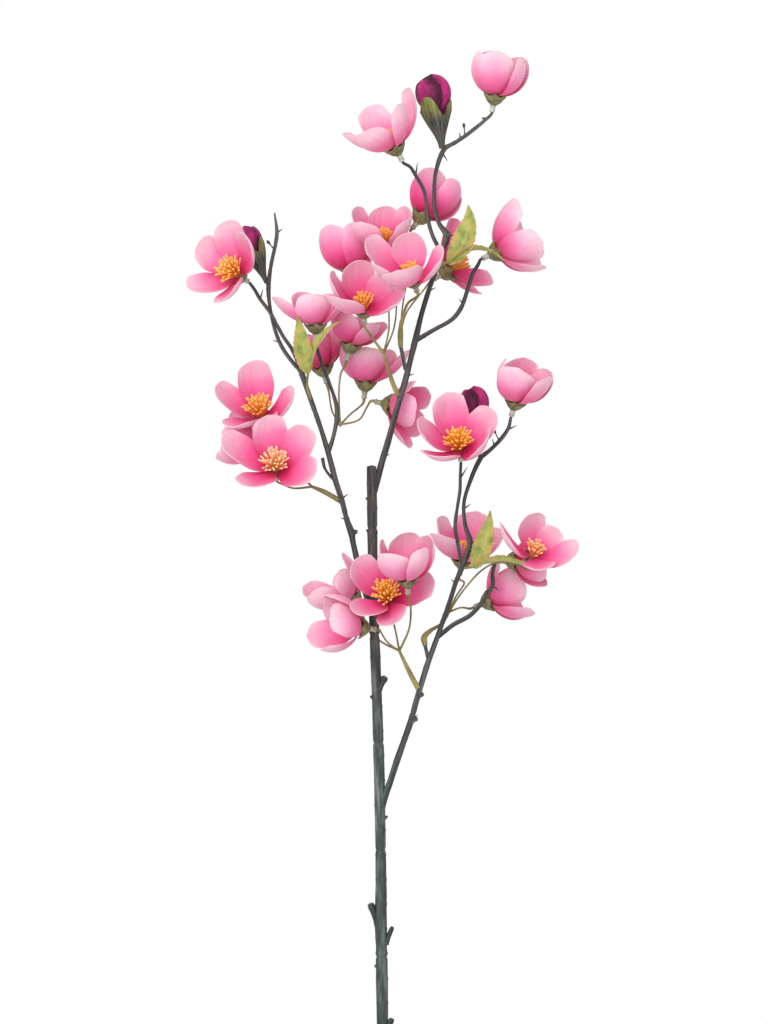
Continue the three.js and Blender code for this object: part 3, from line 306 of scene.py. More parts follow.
# Blooms: base, heading and tilt of the way it faces, then each petal's turn and rise, and where
# they differ from 1 its length and width as shares of the usual ones
BLOOMS = {
    1: ((66.2, 292.2, 64), 80, 0, [
        (-8, 120, 1, 0.92), (64, 122), (136, 119), (208, 120), (280, 122),
    ]),
    2: ((6.6, 261.6, 72), 118, 10, [
        (42, 98, 0.95, 0.9), (102, 94, 1.18, 0.85), (188, 86, 1.08, 0.95), (258, 77, 0.97, 1.05),
        (328, 78, 0.95, 0.95),
    ]),
    3: ((67.2, 199.2, 52), 25, -10, [
        (14, 80), (82, 90), (144, 97), (206, 101), (290, 84, 1.02, 1.05),
    ]),
    4: ((22.2, 220.8, 50), 55, -14, evenly(38, 132)),
    5: ((37.8, 187.8, 31), 30, -20, [
        (58, 72, 0.8), (118, 62, 0.82, 0.9), (178, 80, 0.8, 0.9), (238, 68, 0.9, 0.95),
        (300, 60, 0.9, 0.9),
    ]),
    6: ((17.4, 182.4, 92), 108, 35, [
        (56, 72, 0.95, 1.1), (166, 101, 0.92), (226, 84, 1.08, 0.95), (284, 95),
        (342, 88, 1.05, 1.12),
    ]),
    7: ((-12, 164.4, 83), 92, 35, [
        (57, 62, 1, 0.98), (127, 84, 0.76, 0.85), (192, 102, 0.9), (257, 95), (320, 80),
    ]),
    8: ((-19, 187.8, 40), 95, -18, evenly(22, 120)),
    9: ((0, 202.8, 54), 97, 18, [
        (46, 78, 0.95), (114, 99, 0.82, 0.72), (172, 110, 0.8, 0.85), (234, 98, 0.92),
        (315, 100, 0.8, 0.85),
    ]),
    10: ((-40.8, 155.4, 65), 92, 4, [
        (-6, 100, 0.84, 1.05), (72, 72, 0.68, 0.8), (142, 96, 0.75, 0.82), (207, 90, 0.8, 0.88),
        (274, 66, 0.9, 0.9),
    ]),
    11: ((-20, 143.6, 48), 75, 0, [
        (43, 86, 0.74, 0.85), (112, 94, 0.72, 0.78), (181, 106, 0.72, 0.78), (250, 116, 0.72, 0.85),
        (322, 110, 0.74, 0.9),
    ]),
    12: ((-11, 121.2, 24.5), 84, 0, [
        (5, 108, 0.88, 1.12), (77, 80, 0.98), (149, 92, 0.95), (221, 108, 0.85),
        (291, 112, 0.93, 1.05),
    ]),
    13: ((3.6, 108, 29), -12, 15, [
        (4, 90, 0.98), (76, 73, 0.85, 0.9), (146, 94, 0.85, 0.9), (214, 94, 0.77, 0.88),
        (286, 74, 0.65, 0.8),
    ]),
    14: ((-36.6, 130, 18.4), 104, 0, evenly(0, 128, 0.8, 0.8)),
    15: ((-87, 185.4, 64), 146, 45, [
        (66, 84), (122, 66, 0.97, 0.95), (174, 82, 0.95, 0.95), (248, 72, 0.9), (316, 60, 0.9, 1.1),
    ]),
    16: ((-73.2, 100.8, 33.4), 108, 40, [
        (4, 45, 0.6, 0.8), (58, 68, 0.98, 1.05), (170, 73, 1.03), (236, 76, 0.97),
        (310, 50, 0.85, 1.1),
    ]),
    17: ((-64.8, 69, 64), 97, 54, [
        (48, 56), (118, 64), (182, 70, 0.95), (248, 60, 1.12, 1.15), (318, 56, 1, 1.05),
    ]),
    18: ((-73.5, 84, 17.04), 160, 0, evenly(0, 112, 0.9)),
    19: ((45, 81, 70), 98, 48, [(45, 88), (114, 70), (187, 69, 0.98), (255, 80), (320, 72)]),
    20: ((78.6, 109.8, 60), 74, 18, [
        (52, 100, 0.95, 0.95), (120, 104, 0.92, 0.95), (190, 116, 0.85), (262, 120, 0.92, 0.9),
        (346, 112, 0.95, 1.05),
    ]),
    21: ((46.8, 15, 17), 80, 18, [
        (38, 74, 0.85, 0.9), (104, 86, 0.95), (170, 90, 0.98), (238, 86, 0.95, 1.05),
        (322, 72, 0.9, 0.9),
    ]),
    22: ((88.8, 17.4, 66), 70, 45, [
        (20, 58, 0.8, 0.85), (81, 78, 1), (150, 92, 0.64, 0.66), (211, 100, 0.85, 0.95),
        (294, 82, 0.98, 0.85),
    ]),
    23: ((78, 14.4, 41.6), 0, 0, evenly(36, 112, 0.76, 0.85)),
    24: ((63, -9.6, 19.9), 22, 0, [
        (-8, 116, 0.97), (62, 98, 0.9, 0.95), (136, 90, 0.75, 0.9), (206, 100, 0.95),
        (281, 62, 0.72, 0.72),
    ]),
    25: ((13.8, 3.6, 84), 95, 20, [
        (36, 108, 0.97), (106, 114, 0.92), (176, 118, 0.97, 1.05), (248, 114, 0.9, 0.85),
        (328, 104, 0.9),
    ]),
    26: ((2.4, -9, 60), 104, 55, [
        (0, 48, 0.95, 0.95), (74, 58, 1, 0.8), (146, 80), (212, 66, 0.88), (304, 50, 0.78, 1.1),
    ]),
    27: ((-13.8, -25.2, 56), 172, 14, [
        (14, 104, 1.02, 1.08), (82, 114, 0.95, 0.95), (142, 102, 0.9, 0.9), (203, 93, 1.06, 0.92),
        (269, 106, 0.92, 0.82),
    ]),
    28: ((-18.6, -7.8, 18.85), 140, 4, [
        (24, 104, 0.72, 0.78), (88, 105, 0.85, 0.76), (157, 101, 0.68, 0.7), (222, 100),
        (308, 98, 0.95),
    ]),
}

# How deep the colour is in each bloom, from -1 for pale to 1 for crimson. The others are 0. It is partly
# dye and partly painted shade: blooms that lie in shadow behind or under others get deeper values.
DYE_AND_SHADE = {
    1: -0.05, 2: -0.25, 3: -0.2, 4: 0.35, 5: 0.7, 6: -0.1, 8: 0.3, 9: 0.1, 10: 0.05, 11: 0.35,
    12: 0.1, 13: 0.4, 14: 0.8, 15: -0.15, 18: 0.2, 22: -0.3, 23: 0.5, 24: 0.1, 26: 0.1, 28: -0.1,
}

# The hue of the stamens, from 0 for yellow to 1 for peach
STAMEN_HUE = {6: 0.05, 17: 0.85, 19: 0.0, 22: 0.7, 26: 0.1}

# Sprigs: a sleeve over a peg, then stalks, each into its bloom's collar
SPRIGS = {
    "upper": {
        "sleeve": [(9.9, 142.6, 65.4, 1.7), (9.8, 150, 69, 1.9), (10.2, 158, 73, 1.5)],
        "stalks": {
            6: [(10.2, 157, 72.6, 1.3), (14, 168, 77, 1.1)],
            4: [(10, 150, 68.6, 0.8), (11, 166, 55, 0.7), (16, 196, 47, 0.7)],
            5: [(10, 152, 69.6, 0.8), (14, 164, 52, 0.7), (24, 177, 42, 0.7)],
        },
    },
    "front": {
        "sleeve": [(8.3, 113.6, 60.2, 1.9), (4.8, 122, 63, 1.6), (-0.6, 139.5, 67, 1.3)],
        "stalks": {
            7: [(-0.6, 139, 67, 1.3), (-6.4, 147, 70, 1.1)],
            9: [(-0.4, 138, 66.6, 0.8), (6, 154, 60, 0.7), (7, 172, 52, 0.7)],
            8: [(-0.4, 138, 66.6, 0.8), (3, 155, 64, 0.7), (0, 172, 56, 0.7)],
        },
    },
    "middle": {
        "sleeve": [(-27.2, 97.4, 53.4, 1.8), (-26, 95.6, 48, 1.5)],
        "stalks": {
            12: [(-26.2, 96, 49, 0.9), (-20, 102.4, 37, 0.8), (-14.8, 106.6, 28, 0.8)],
            13: [(-26.2, 96, 49, 0.9), (-15, 99, 38, 0.8), (-10, 107, 28.5, 0.8)],
            11: [(-26.2, 96, 49, 0.9), (-27, 112, 49, 0.8), (-26, 126, 49, 0.8)],
            14: [(-26.2, 96, 49, 0.9), (-31, 104, 34, 0.8), (-33, 115, 20.5, 0.8)],
        },
    },
    "left": {
        "sleeve": [(-26.8, 50.8, 49.8, 1.8), (-36, 56, 48, 1.6), (-43.2, 59, 47, 1.4)],
        "stalks": {
            17: [(-43, 59, 47, 1.0), (-54, 58, 49, 0.8), (-61, 60.5, 52, 0.8)],
            16: [(-43, 59, 47, 0.9), (-54, 70, 34, 0.8), (-67, 84, 20, 0.8)],
            18: [(-43, 59, 47, 0.9), (-52, 67, 28, 0.8), (-58, 77, 18, 0.8)],
        },
    },
    "right": {
        "sleeve": [
            (24.7, -36, 41, 1.8), (24, -31.4, 40.2, 1.7), (27.6, -27.4, 37.6, 1.5),
            (35, -22.6, 34.6, 1.3), (39, -16, 33, 1.3),
        ],
        "stalks": {
            24: [(39, -16, 33, 1.0), (46, -13.5, 28, 0.8)],
            21: [(39, -16, 33, 0.9), (43, -7, 28, 0.8), (48, 1, 24, 0.8)],
            22: [
                (39, -16, 33, 0.9), (44, -8, 37, 0.8), (50, 0, 42, 0.8), (58, 8.5, 47, 0.8),
                (67, 13.5, 51.5, 0.8), (77, 13.5, 55, 0.8), (83, 10, 56.2, 0.8),
            ],
        },
    },
    "stem": {
        "sleeve": [(20.2, -61.4, 40.2, 1.9), (16.2, -54, 44, 1.7), (9, -39, 50, 1.3)],
        "stalks": {
            25: [(9.2, -39.4, 49.8, 1.1), (15, -26, 60, 0.9), (16, -13, 74, 0.9)],
            26: [(9.2, -39.4, 49.8, 0.9), (7, -28, 47, 0.8)],
            27: [(9.2, -39.4, 49.8, 0.9), (2, -34, 52, 0.8), (-3, -26, 53, 0.8)],
            28: [(9.2, -39.4, 49.8, 0.9), (-4, -32, 30, 0.8), (-12, -20, 33, 0.8)],
        },
    },
}

# Buds: base, heading, tilt, scale and girth, azimuths of the wrapped petals, then for each sepal
# its azimuth, its height above the cup and half its width in degrees
BUDS = {
    "top": (
        (34.8, 261, 66), 99, 0, 1.02, 1.0, [62, -48, 176],
        [(-26, 12.5, 36), (66, 9, 24), (128, 7, 30), (200, 8, 30), (268, 5, 30)],
    ),
    "left": (
        (-70.4, 181, 57), 111, -14, 0.85, 0.84, [-30, 90, 205],
        [(62, 13, 34), (-10, 5, 26), (140, 8, 30), (215, 8, 30), (290, 6, 30)],
    ),
    "right": (
        (56, 80, 51), 94, -8, 0.9, 0.95, [50, -60, 170],
        [(20, 8, 30), (100, 8, 30), (-50, 8, 30), (180, 8, 30), (240, 8, 30)],
    ),
}
BUD_PROFILE = [(13, 2.6), (20, 5.6), (27, 9), (33, 10.2), (38.5, 8.8), (42.5, 5), (44, 0.6)]
CUP_PROFILE = [(0, 1.5), (4, 2.0), (8, 3.2), (12, 4.9), (16, 6.6), (20, 8.2), (24, 9.4), (28, 10.4),
               (33, 11.0)]
CORE_HEIGHTS = (13, 41)
WRAP = {"foot": 12.5, "top": 44.0, "drop": 2.6, "half": 76, "inset": 0.35, "gap": 0.9}
WIND = {"out": 0.55, "next": 0.25, "wave": 0.35, "lobe": 0.15, "narrow": 0.45, "dye": 0.13}
CUP = {"rim": 18.5, "wall": 0.65, "stand": 0.25, "cone": 16, "blend": 9}
CUP_LINING = (0.985, 0.5)  # from the top to the bottom of the lining, as shares of the rim
FLUTES = {"depth": 0.035, "count": 9, "twist": 0.2, "fade": 8}
CLOTH = 0.5  # thickness of the buds' and the leaves' cloth

# Leaves: the pair's stalk, then each blade's midrib, the way across it and its half width
LEAVES = {
    "upper": (
        [(33, 192, 65, 0.9), (38.6, 193, 67, 0.8)],
        [
            ([(38.4, 192, 67), (54, 208, 72), (50.4, 227, 66)], (1, -0.3, 0.4), 8.2),
            ([(39, 192, 67), (56, 208, 74), (71.4, 194, 66)], (0.1, 0.3, 1), 5.4),
        ],
    ),
    "left": (
        [(-43, 109, 57.4, 0.9), (-46, 119, 61, 0.8), (-45.4, 127.6, 64.4, 0.8)],
        [
            ([(-45.8, 127, 64), (-48, 143, 74), (-51.6, 160.8, 76)], (1, 0.2, 0.3), 6.6),
            ([(-45, 127, 64), (-43, 148, 80), (-26, 157.6, 84)], (0.5, -0.4, 0.8), 4),
        ],
    ),
    "right": (
        [(48, 10.5, 50.4, 0.9), (54, 11, 55, 0.8)],
        [
            ([(53.6, 10.6, 55), (62, 24, 62), (63.6, 44.4, 58)], (1, -0.3, 0.3), 7),
            ([(54, 11, 55), (74, 20, 73), (91.8, 8, 72.5)], (0.2, 0.4, 1), 4.5),
        ],
    ),
}
LEAF = {"teeth": 11, "tooth": 0.13, "least": 0.35, "fold": 20, "ripple": 0.35, "bend": 0.01}


# Shapes

def spread(n, k, which):
    """A repeatable value from -1 to 1 for part k of piece n: a sine of their weighted sum."""
    return np.sin(n * 12.9898 + k * 78.233 + which * 37.719)


def unit(vectors):
    """Vectors divided by their lengths."""
    return vectors / np.maximum(np.linalg.norm(vectors, axis=-1, keepdims=True), 1e-9)


def around(count):
    """The angles of a ring's points: even turns from 0."""
    return np.arange(count) / count * FULL_TURN


def turned(radius, angle, height):
    """Points about a flower's axis: the radius times the cosine and the sine of the angle, and the
    height along the axis."""
    x = radius * np.cos(angle)
    y = radius * np.sin(angle)
    return np.stack([x, y, np.broadcast_to(height, x.shape)], axis=-1)


def flower_frame(base, heading, tilt):
    """Rows of the flower's own axes and its base. The third axis points the way it faces, the
    first leans to the upward side, and the second is their cross product."""
    turn = math.radians(heading)
    lift = math.radians(tilt)
    facing = np.array([
        math.cos(turn) * math.cos(lift), math.sin(turn) * math.cos(lift), math.sin(lift)
    ])
    upward = unit(np.array([0.0, 0.0, 1.0]) - facing * facing[2])
    return np.array([upward, np.cross(facing, upward), facing]), np.array(base, float)


def placed(points, frame):
    """Points of a flower's own frame as points of the tables' frame: base plus axes times point."""
    axes, base = frame
    return points @ axes + base


def on_axis(frame, distance):
    """The point of a flower's axis at a distance from its base."""
    return tuple(placed(np.array([0.0, 0.0, distance]), frame))


def smooth_path(path, step):
    """Points and radii along a path at even steps. Each span is a cubic that leaves a point with
    the mean slope of its neighbours, so that the path turns smoothly through every point."""
    knots = np.array(path, float)
    span = np.linalg.norm(np.diff(knots[:, :3], axis=0), axis=1)
    at = np.concatenate([[0.0], np.cumsum(span)])
    slopes = np.empty_like(knots)
    slopes[1:-1] = (knots[2:] - knots[:-2]) / (at[2:] - at[:-2])[:, None]
    slopes[0] = (knots[1] - knots[0]) / span[0]
    slopes[-1] = (knots[-1] - knots[-2]) / span[-1]
    along = np.linspace(0, at[-1], max(int(at[-1] / step), 3) + 1)
    index = np.clip(np.searchsorted(at, along, side="right") - 1, 0, len(span) - 1)
    width = span[index][:, None]
    t = ((along - at[index])[:, None]) / width
    made = (
        (2 * t**3 - 3 * t**2 + 1) * knots[index]
        + (t**3 - 2 * t**2 + t) * width * slopes[index]
        + (3 * t**2 - 2 * t**3) * knots[index + 1]
        + (t**3 - t**2) * width * slopes[index + 1]
    )
    return made[:, :3], made[:, 3], along


def relief(angle, along, seed):
    """Bark relief at an angle round a twig and a distance along it, as a share of its full height:
    sines with unlike waves round and along, so ridges run lengthwise, drift and break off, with a
    swelling where one slow wave passes zero and a crack round the twig where another does."""
    ridges = sum(
        height * np.sin(
            about * angle + length * along + phase * seed + sway * np.sin(SWAY_WAVE * along)
        )
        for height, about, length, phase, sway in RIDGES
    )
    swelling = np.exp(-((np.sin(KNUCKLE["wave"] * along + seed) / KNUCKLE["width"]) ** 2))
    lean = 1 + KNUCKLE["lean"] * np.sin(angle + seed)
    wave = np.sin(CRACK["wave"] * along + CRACK["phase"] * seed)
    crack = np.exp(-((wave / CRACK["width"]) ** 2))
    return ridges + KNUCKLE["height"] * swelling * lean - CRACK["depth"] * crack


def swept(path, sides, step, rough, seed):
    """Rings of points along a path, ordered counter-clockwise about it. A ring's plane stands
    across the path, and its first direction leans to the axis that the path turns least towards.
    Rough is the height of the bark relief as a share of the radius."""
    centres, radii, along = smooth_path(path, step)
    forward = unit(np.gradient(centres, axis=0))
    steady = np.linalg.eigh(forward.T @ forward)[1][:, 0]
    across = unit(steady - forward * (forward @ steady)[:, None])
    other = np.cross(forward, across)
    angle = around(sides)
    size = radii[:, None] * (1 + rough * relief(angle[None, :], along[:, None], seed))
    ring = size[..., None] * (
        np.cos(angle)[None, :, None] * across[:, None, :]
        + np.sin(angle)[None, :, None] * other[:, None, :]
    )
    return centres[:, None, :] + ring, along


def outline_width(v, tip):
    """A petal's width from claw to tip as a share of its greatest: one power curve up to the
    widest place and another down from it to the width at the tip."""
    claw, widest = OUTLINE["claw"], OUTLINE["widest"]
    opening = 1 - (1 - claw) * (1 - np.minimum(v, widest) / widest) ** OUTLINE["open"]
    closing = 1 - (1 - tip) * (np.maximum(v - widest, 0) / (1 - widest)) ** OUTLINE["close"]
    return np.where(v < widest, opening, closing)


def cloth_forms(u, v, number, k, ruffle):
    """How far the small forms lift a petal's surface in millimetres: two crossing sines wave the
    rim, a square rolls the tip back, and a bell curve presses a crease along the midrib."""
    wave = np.sin(5 * v + 3 * u + 9 * spread(number, k, 5)) + 0.6 * np.sin(
        9 * v - 4 * u + 9 * spread(number, k, 7)
    )
    reach = ROLL["reach"] * (ROLL["least"] + spread(number, k, 10))
    roll = reach * np.maximum(v - ROLL["start"], 0) ** 2 / ROLL["square"]
    crease = CREASE["depth"] * np.exp(-((u / CREASE["width"]) ** 2)) * v * (1 - v) * 4
    return ruffle * v**2 * u**2 * wave - roll * (0.4 + 0.6 * u**2) - crease


def petal_middle(u, v, petal, number, k, ruffle):
    """The middle surface of a petal, for u across from -1 to 1 and v from claw to tip. The midrib
    is a circular arc that climbs from the claw's rise to the petal's, and the blade curls round it
    like a spoon, with one side higher than the other so that neighbours overlap."""
    turn, rise, *shares = petal
    long, wide = (*shares, 1.0, 1.0)[:2]
    length = PETAL["length"] * long * (1 + VARIES["length"] * spread(number, k, 2))
    half_width = PETAL["half"] * wide * (1 + VARIES["width"] * spread(number, k, 3))
    point = POINT["height"] * (spread(number, k, 4) + POINT["least"])
    along = v - OUTLINE["round"] * v**2 * np.abs(u) ** 3
    along = along + point * np.exp(-((u / POINT["width"]) ** 2)) * v**8
    start = math.radians(CLAW_RISE)
    climb = math.radians(rise - CLAW_RISE)
    elevation = start + climb * along
    radius = PETAL_START + length * (np.sin(elevation) - math.sin(start)) / climb
    height = PETAL_SEAT + length * (math.cos(start) - np.cos(elevation)) / climb
    half = half_width * outline_width(v, OUTLINE["tip"] + VARIES["tip"] * spread(number, k, 9))
    curl = u * half / PETAL["bowl"]
    sideways = PETAL["bowl"] * np.sin(curl)
    lift = PETAL["bowl"] * (1 - np.cos(curl)) + PETAL["overlap"] * u * half
    lift = lift + cloth_forms(u, v, number, k, ruffle)
    outward = radius - lift * np.sin(elevation)
    c, s = math.cos(math.radians(turn)), math.sin(math.radians(turn))
    return np.stack([
        outward * c - sideways * s,
        outward * s + sideways * c,
        height + lift * np.cos(elevation),
    ], axis=-1)


def shell(middle, thickness):
    """A closed skin round a middle surface: its points moved half the thickness along the normal,
    then the same row backwards, moved the other way. The skin thins towards its edges."""
    across = np.gradient(middle, axis=1)
    along = np.gradient(middle, axis=0)
    normal = unit(np.cross(across, along))
    thin = 1 - EDGE_THINNING * np.abs(np.linspace(-1, 1, middle.shape[1])) ** 4
    offset = normal * thickness / 2 * thin[None, :, None]
    return np.concatenate([middle + offset, (middle - offset)[:, ::-1]], axis=1)


def edge_spaced(count):
    """Values from -1 to 1 that crowd towards both ends: a sine of even steps."""
    return np.sin(np.linspace(-math.pi / 2, math.pi / 2, count))


def tip_spaced(count):
    """Values from 0 to 1 that crowd towards 1: even steps turned by a power."""
    return 1 - (1 - np.linspace(0, 1, count)) ** 1.5


def profile_at(profile, heights):
    """Radii of a turned profile at given heights, by a cubic through its points."""
    points, radii, _ = smooth_path([(0, 0, z, r) for z, r in profile], 0.4)
    return np.interp(heights, points[:, 2], radii)


# Meshes

class Skin:
    """Collects grids of points as the faces of one mesh, with corner UVs, point values named tone
    and outer, and a material number for each face."""

    def __init__(self):
        self.points = []
        self.values = {"tone": [], "outer": []}
        self.faces = []
        self.uvs = []
        self.kinds = []
        self.count = 0

    def add_points(self, points, tone, outer=0.0):
        """Adds points and gives their numbers, in the shape of their grid."""
        shape = points.shape[:-1]
        self.points.append(points.reshape(-1, 3))
        for key, value in (("tone", tone), ("outer", outer)):
            self.values[key].append(np.broadcast_to(value, shape).reshape(-1))
        ids = self.count + np.arange(len(self.points[-1])).reshape(shape)
        self.count += ids.size
        return ids

    def add_faces(self, faces, uvs, kind):
        """Adds faces with the u and v of each of their corners."""
        self.faces += faces.tolist()
        self.uvs.append(uvs.reshape(-1, 2))
        self.kinds.append(np.full(len(faces), kind))

    def add_bands(self, ids, u, v, kind):
        """Adds quads between neighbouring rings, whose columns close round. u has one value more
        than there are columns."""
        after = np.roll(ids, -1, axis=1)
        quads = np.stack([ids[:-1], after[:-1], after[1:], ids[1:]], axis=-1).reshape(-1, 4)
        left, right, level = np.broadcast_arrays(u[None, :-1], u[None, 1:], v[:, None])
        corners = np.stack([
            left[:-1], level[:-1], right[:-1], level[:-1], right[1:], level[1:], left[1:], level[1:],
        ], axis=-1)
        self.add_faces(quads, corners, kind)

    def tube(self, rings, u_scale=1.0, v=None, tone=0.0, kind=0, dome=0.3):
        """Adds rings of points, closed at both ends by a slightly domed fan."""
        rows, columns = rings.shape[:2]
        v = np.linspace(0, 1, rows) if v is None else v
        u = np.linspace(0, u_scale, columns + 1)
        ids = self.add_points(rings, tone)
        self.add_bands(ids, u, v, kind)
        for end, inner in ((0, 1), (-1, -2)):
            middle = rings[end].mean(axis=0)
            away = middle - rings[inner].mean(axis=0)
            reach = np.linalg.norm(rings[end] - middle, axis=-1).mean()
            pole = middle + unit(away) * reach * dome
            pole_tone = tone[end].mean() if np.ndim(tone) == 2 else tone
            pole_id = self.add_points(pole[None, :], pole_tone)
            after = np.roll(ids[end], -1)
            first, second = (after, ids[end]) if end == 0 else (ids[end], after)
            fans = np.stack([first, second, np.broadcast_to(pole_id, columns)], axis=-1)
            level = np.full(columns, v[end])
            corners = np.stack([u[:-1], level, u[1:], level, (u[:-1] + u[1:]) / 2, level], axis=-1)
            self.add_faces(fans, corners, kind)

    def blade(self, rings, u, v, tone=0.0):
        """Adds a shell from its rings: front columns, then the same backwards. u and v give the
        places on the blade from 0 to 1. The front columns get outer 1."""
        columns = rings.shape[1]
        half = columns // 2
        ids = self.add_points(rings, tone, np.repeat([1.0, 0.0], half))
        self.add_bands(ids, np.concatenate([u, u[::-1], u[:1]]), v, 0)
        mirror = columns - 1 - np.arange(half)
        for row in (0, -1):
            front, back = ids[row, :half], ids[row, mirror]
            quads = np.stack([front[:-1], front[1:], back[1:], back[:-1]], axis=-1)
            places = np.stack([u[:-1], u[1:], u[1:], u[:-1]], axis=-1)
            if row == 0:
                quads, places = quads[:, ::-1], places[:, ::-1]
            corners = np.stack([places, np.full_like(places, v[row])], axis=-1)
            self.add_faces(quads, corners, 0)

    def piece(self, name, kinds, node):
        """Makes the collected faces one smooth-shaded object, in metres and in the materials of those
        kinds. It rides on the root and stands for its node of the solid model."""
        points = (np.concatenate(self.points) + ORIGIN) * MM
        mesh = bpy.data.meshes.new(name)
        mesh.from_pydata(points.tolist(), [], self.faces)
        layer = mesh.uv_layers.new(name="UVMap")
        layer.data.foreach_set("uv", np.concatenate(self.uvs).astype(np.float32).ravel())
        for key, values in self.values.items():
            held = mesh.attributes.new(key, "FLOAT", "POINT")
            held.data.foreach_set("value", np.concatenate(values).astype(np.float32))
        mesh.polygons.foreach_set("use_smooth", np.ones(len(self.faces), bool))
        mesh.polygons.foreach_set("material_index", np.concatenate(self.kinds).astype(np.int32))
        for kind in kinds:
            mesh.materials.append(material(kind))
        mesh.update()
        mesh.set_sharp_from_angle(angle=math.radians(SHARP_ANGLE))
        made = bpy.data.objects.new(name, mesh)
        bpy.context.scene.collection.objects.link(made)
        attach(made, "root")
        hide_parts(node)


# Materials

def linear(code):
    """A #RRGGBB colour as linear red, green, blue and 1: the sRGB curve undone."""
    values = np.array([int(code[i:i + 2], 16) for i in (1, 3, 5)]) / 255
    low = values / 12.92
    high = ((values + 0.055) / 1.055) ** 2.4
    return (*np.where(values <= 0.04045, low, high).tolist(), 1.0)


def per_metre(size):
    """The scale of a pattern on object coordinates, from the size of one mark in millimetres."""
    return 1000.0 / size


def marks(across, along, width, length):
    """How often a pattern repeats over one unit of a piece's UV map: the unit's millimetres across
    and along the piece, divided by the width and the length of one mark."""
    return (across / width, along / length, 1.0)


def add_node(tree, kind, inputs=None, stops=(), **settings):
    """Adds a node with its settings. Inputs maps a socket to a value, a colour code, or the node
    or output that it is linked from. Stops are the places and colours of a ramp."""
    made = tree.nodes.new("ShaderNode" + kind)
    for name, value in settings.items():
        setattr(made, name, value)
    for key, value in (inputs or {}).items():
        if isinstance(value, bpy.types.Node):
            value = next(output for output in value.outputs if output.enabled)
        if isinstance(value, bpy.types.NodeSocket):
            tree.links.new(value, made.inputs[key])
        else:
            made.inputs[key].default_value = linear(value) if isinstance(value, str) else value
    for index, (place, colour) in enumerate(stops):
        if index >= len(made.color_ramp.elements):
            made.color_ramp.elements.new(1.0)
        element = made.color_ramp.elements[index]
        element.position = place
        element.color = linear(colour) if isinstance(colour, str) else (*colour, 1.0)
    return made


def petal_cloth(add):
    """Dyed polyester cloth, airbrushed from crimson at the claw to pale pink at the rim. The deepest
    crimson at the claw also paints the shade in the heart of the bloom. The dye is uneven, threads and
    soft folds run from claw to rim, and the shader has a sheen. The outside is drawn a little paler as a
    painted sheen. A bloom's tone deepens the colour, as painted shade on blooms that lie behind or under
    others. The threads are drawn coarser than real ones, which would be too fine to show."""
    spot = add("TexCoord").outputs["Object"]
    uv = add("UVMap", uv_map="UVMap")
    settings = bpy.context.scene.blossom
    wide, long = 2 * PETAL["half"], PETAL["length"]
    u, v, _ = add("SeparateXYZ", {0: uv}).outputs
    tone = add("Attribute", attribute_name="tone").outputs["Fac"]
    outer = add("Attribute", attribute_name="outer").outputs["Fac"]
    blotch = add("TexNoise", {"Vector": spot, "Scale": per_metre(11.1), "Detail": 3.0})
    uneven = add("Math", {0: blotch, 1: 0.5}, operation="SUBTRACT")
    side = add("Math", {0: u, 1: 0.5}, operation="SUBTRACT")
    rim = add("Math", {0: side, 1: side}, operation="MULTIPLY")
    depth = v
    # tone deepens blooms that lie behind or under others as painted shade, and outer makes the outside
    # paler as a painted sheen
    for part, share in ((tone, -0.34), (outer, 0.07), (uneven, 0.3), (rim, 0.25)):
        depth = add("Math", {0: part, 1: share, 2: depth}, operation="MULTIPLY_ADD")
    # The first and deepest crimson stop, at the claw, is partly painted shade in the heart of the bloom
    dye = add("ValToRGB", {0: depth}, stops=(
        (0.0, "#BA1250"), (0.16, settings.petal_base), (0.38, settings.petal_middle),
        (0.6, "#F48EBB"), (0.82, settings.petal_tip), (1.0, "#F8D6E1"),
    ))
    thread_grid = add("Mapping", {"Vector": uv, "Scale": marks(wide, long, 0.343, 6.6)})
    thread = add("TexNoise", {"Vector": thread_grid, "Scale": 1.0, "Detail": 2.0})
    shade = add("ValToRGB", {0: thread}, stops=((0.3, "#C85A88"), (0.7, "#FFFFFF")))
    colour = add("Mix", {0: 0.16, 6: dye, 7: shade}, data_type="RGBA", blend_type="MULTIPLY")
    weave = add("TexNoise", {"Vector": spot, "Scale": per_metre(0.385), "Detail": 1.0})
    fold_grid = add("Mapping", {"Vector": uv, "Scale": marks(wide, long, 4.8, 16.5)})
    fold = add("TexNoise", {"Vector": fold_grid, "Scale": 1.0, "Detail": 1.0})
    height = 0.0
    for part, share in ((weave, 0.03), (thread, 0.35), (fold, 9.0)):
        height = add("Math", {0: part, 1: share, 2: height}, operation="MULTIPLY_ADD")
    normal = add("Bump", {"Height": height, "Distance": 0.00012, "Strength": 0.7})
    cloth = add("BsdfPrincipled", {
        "Base Color": colour, "Roughness": 0.62, "Sheen Weight": 0.35, "Sheen Roughness": 0.45,
        "Specular IOR Level": 0.3, "Normal": normal,
    })
    through = add("BsdfTranslucent", {"Color": colour, "Normal": normal})
    return add("MixShader", {0: 0.3, 1: cloth, 2: through})


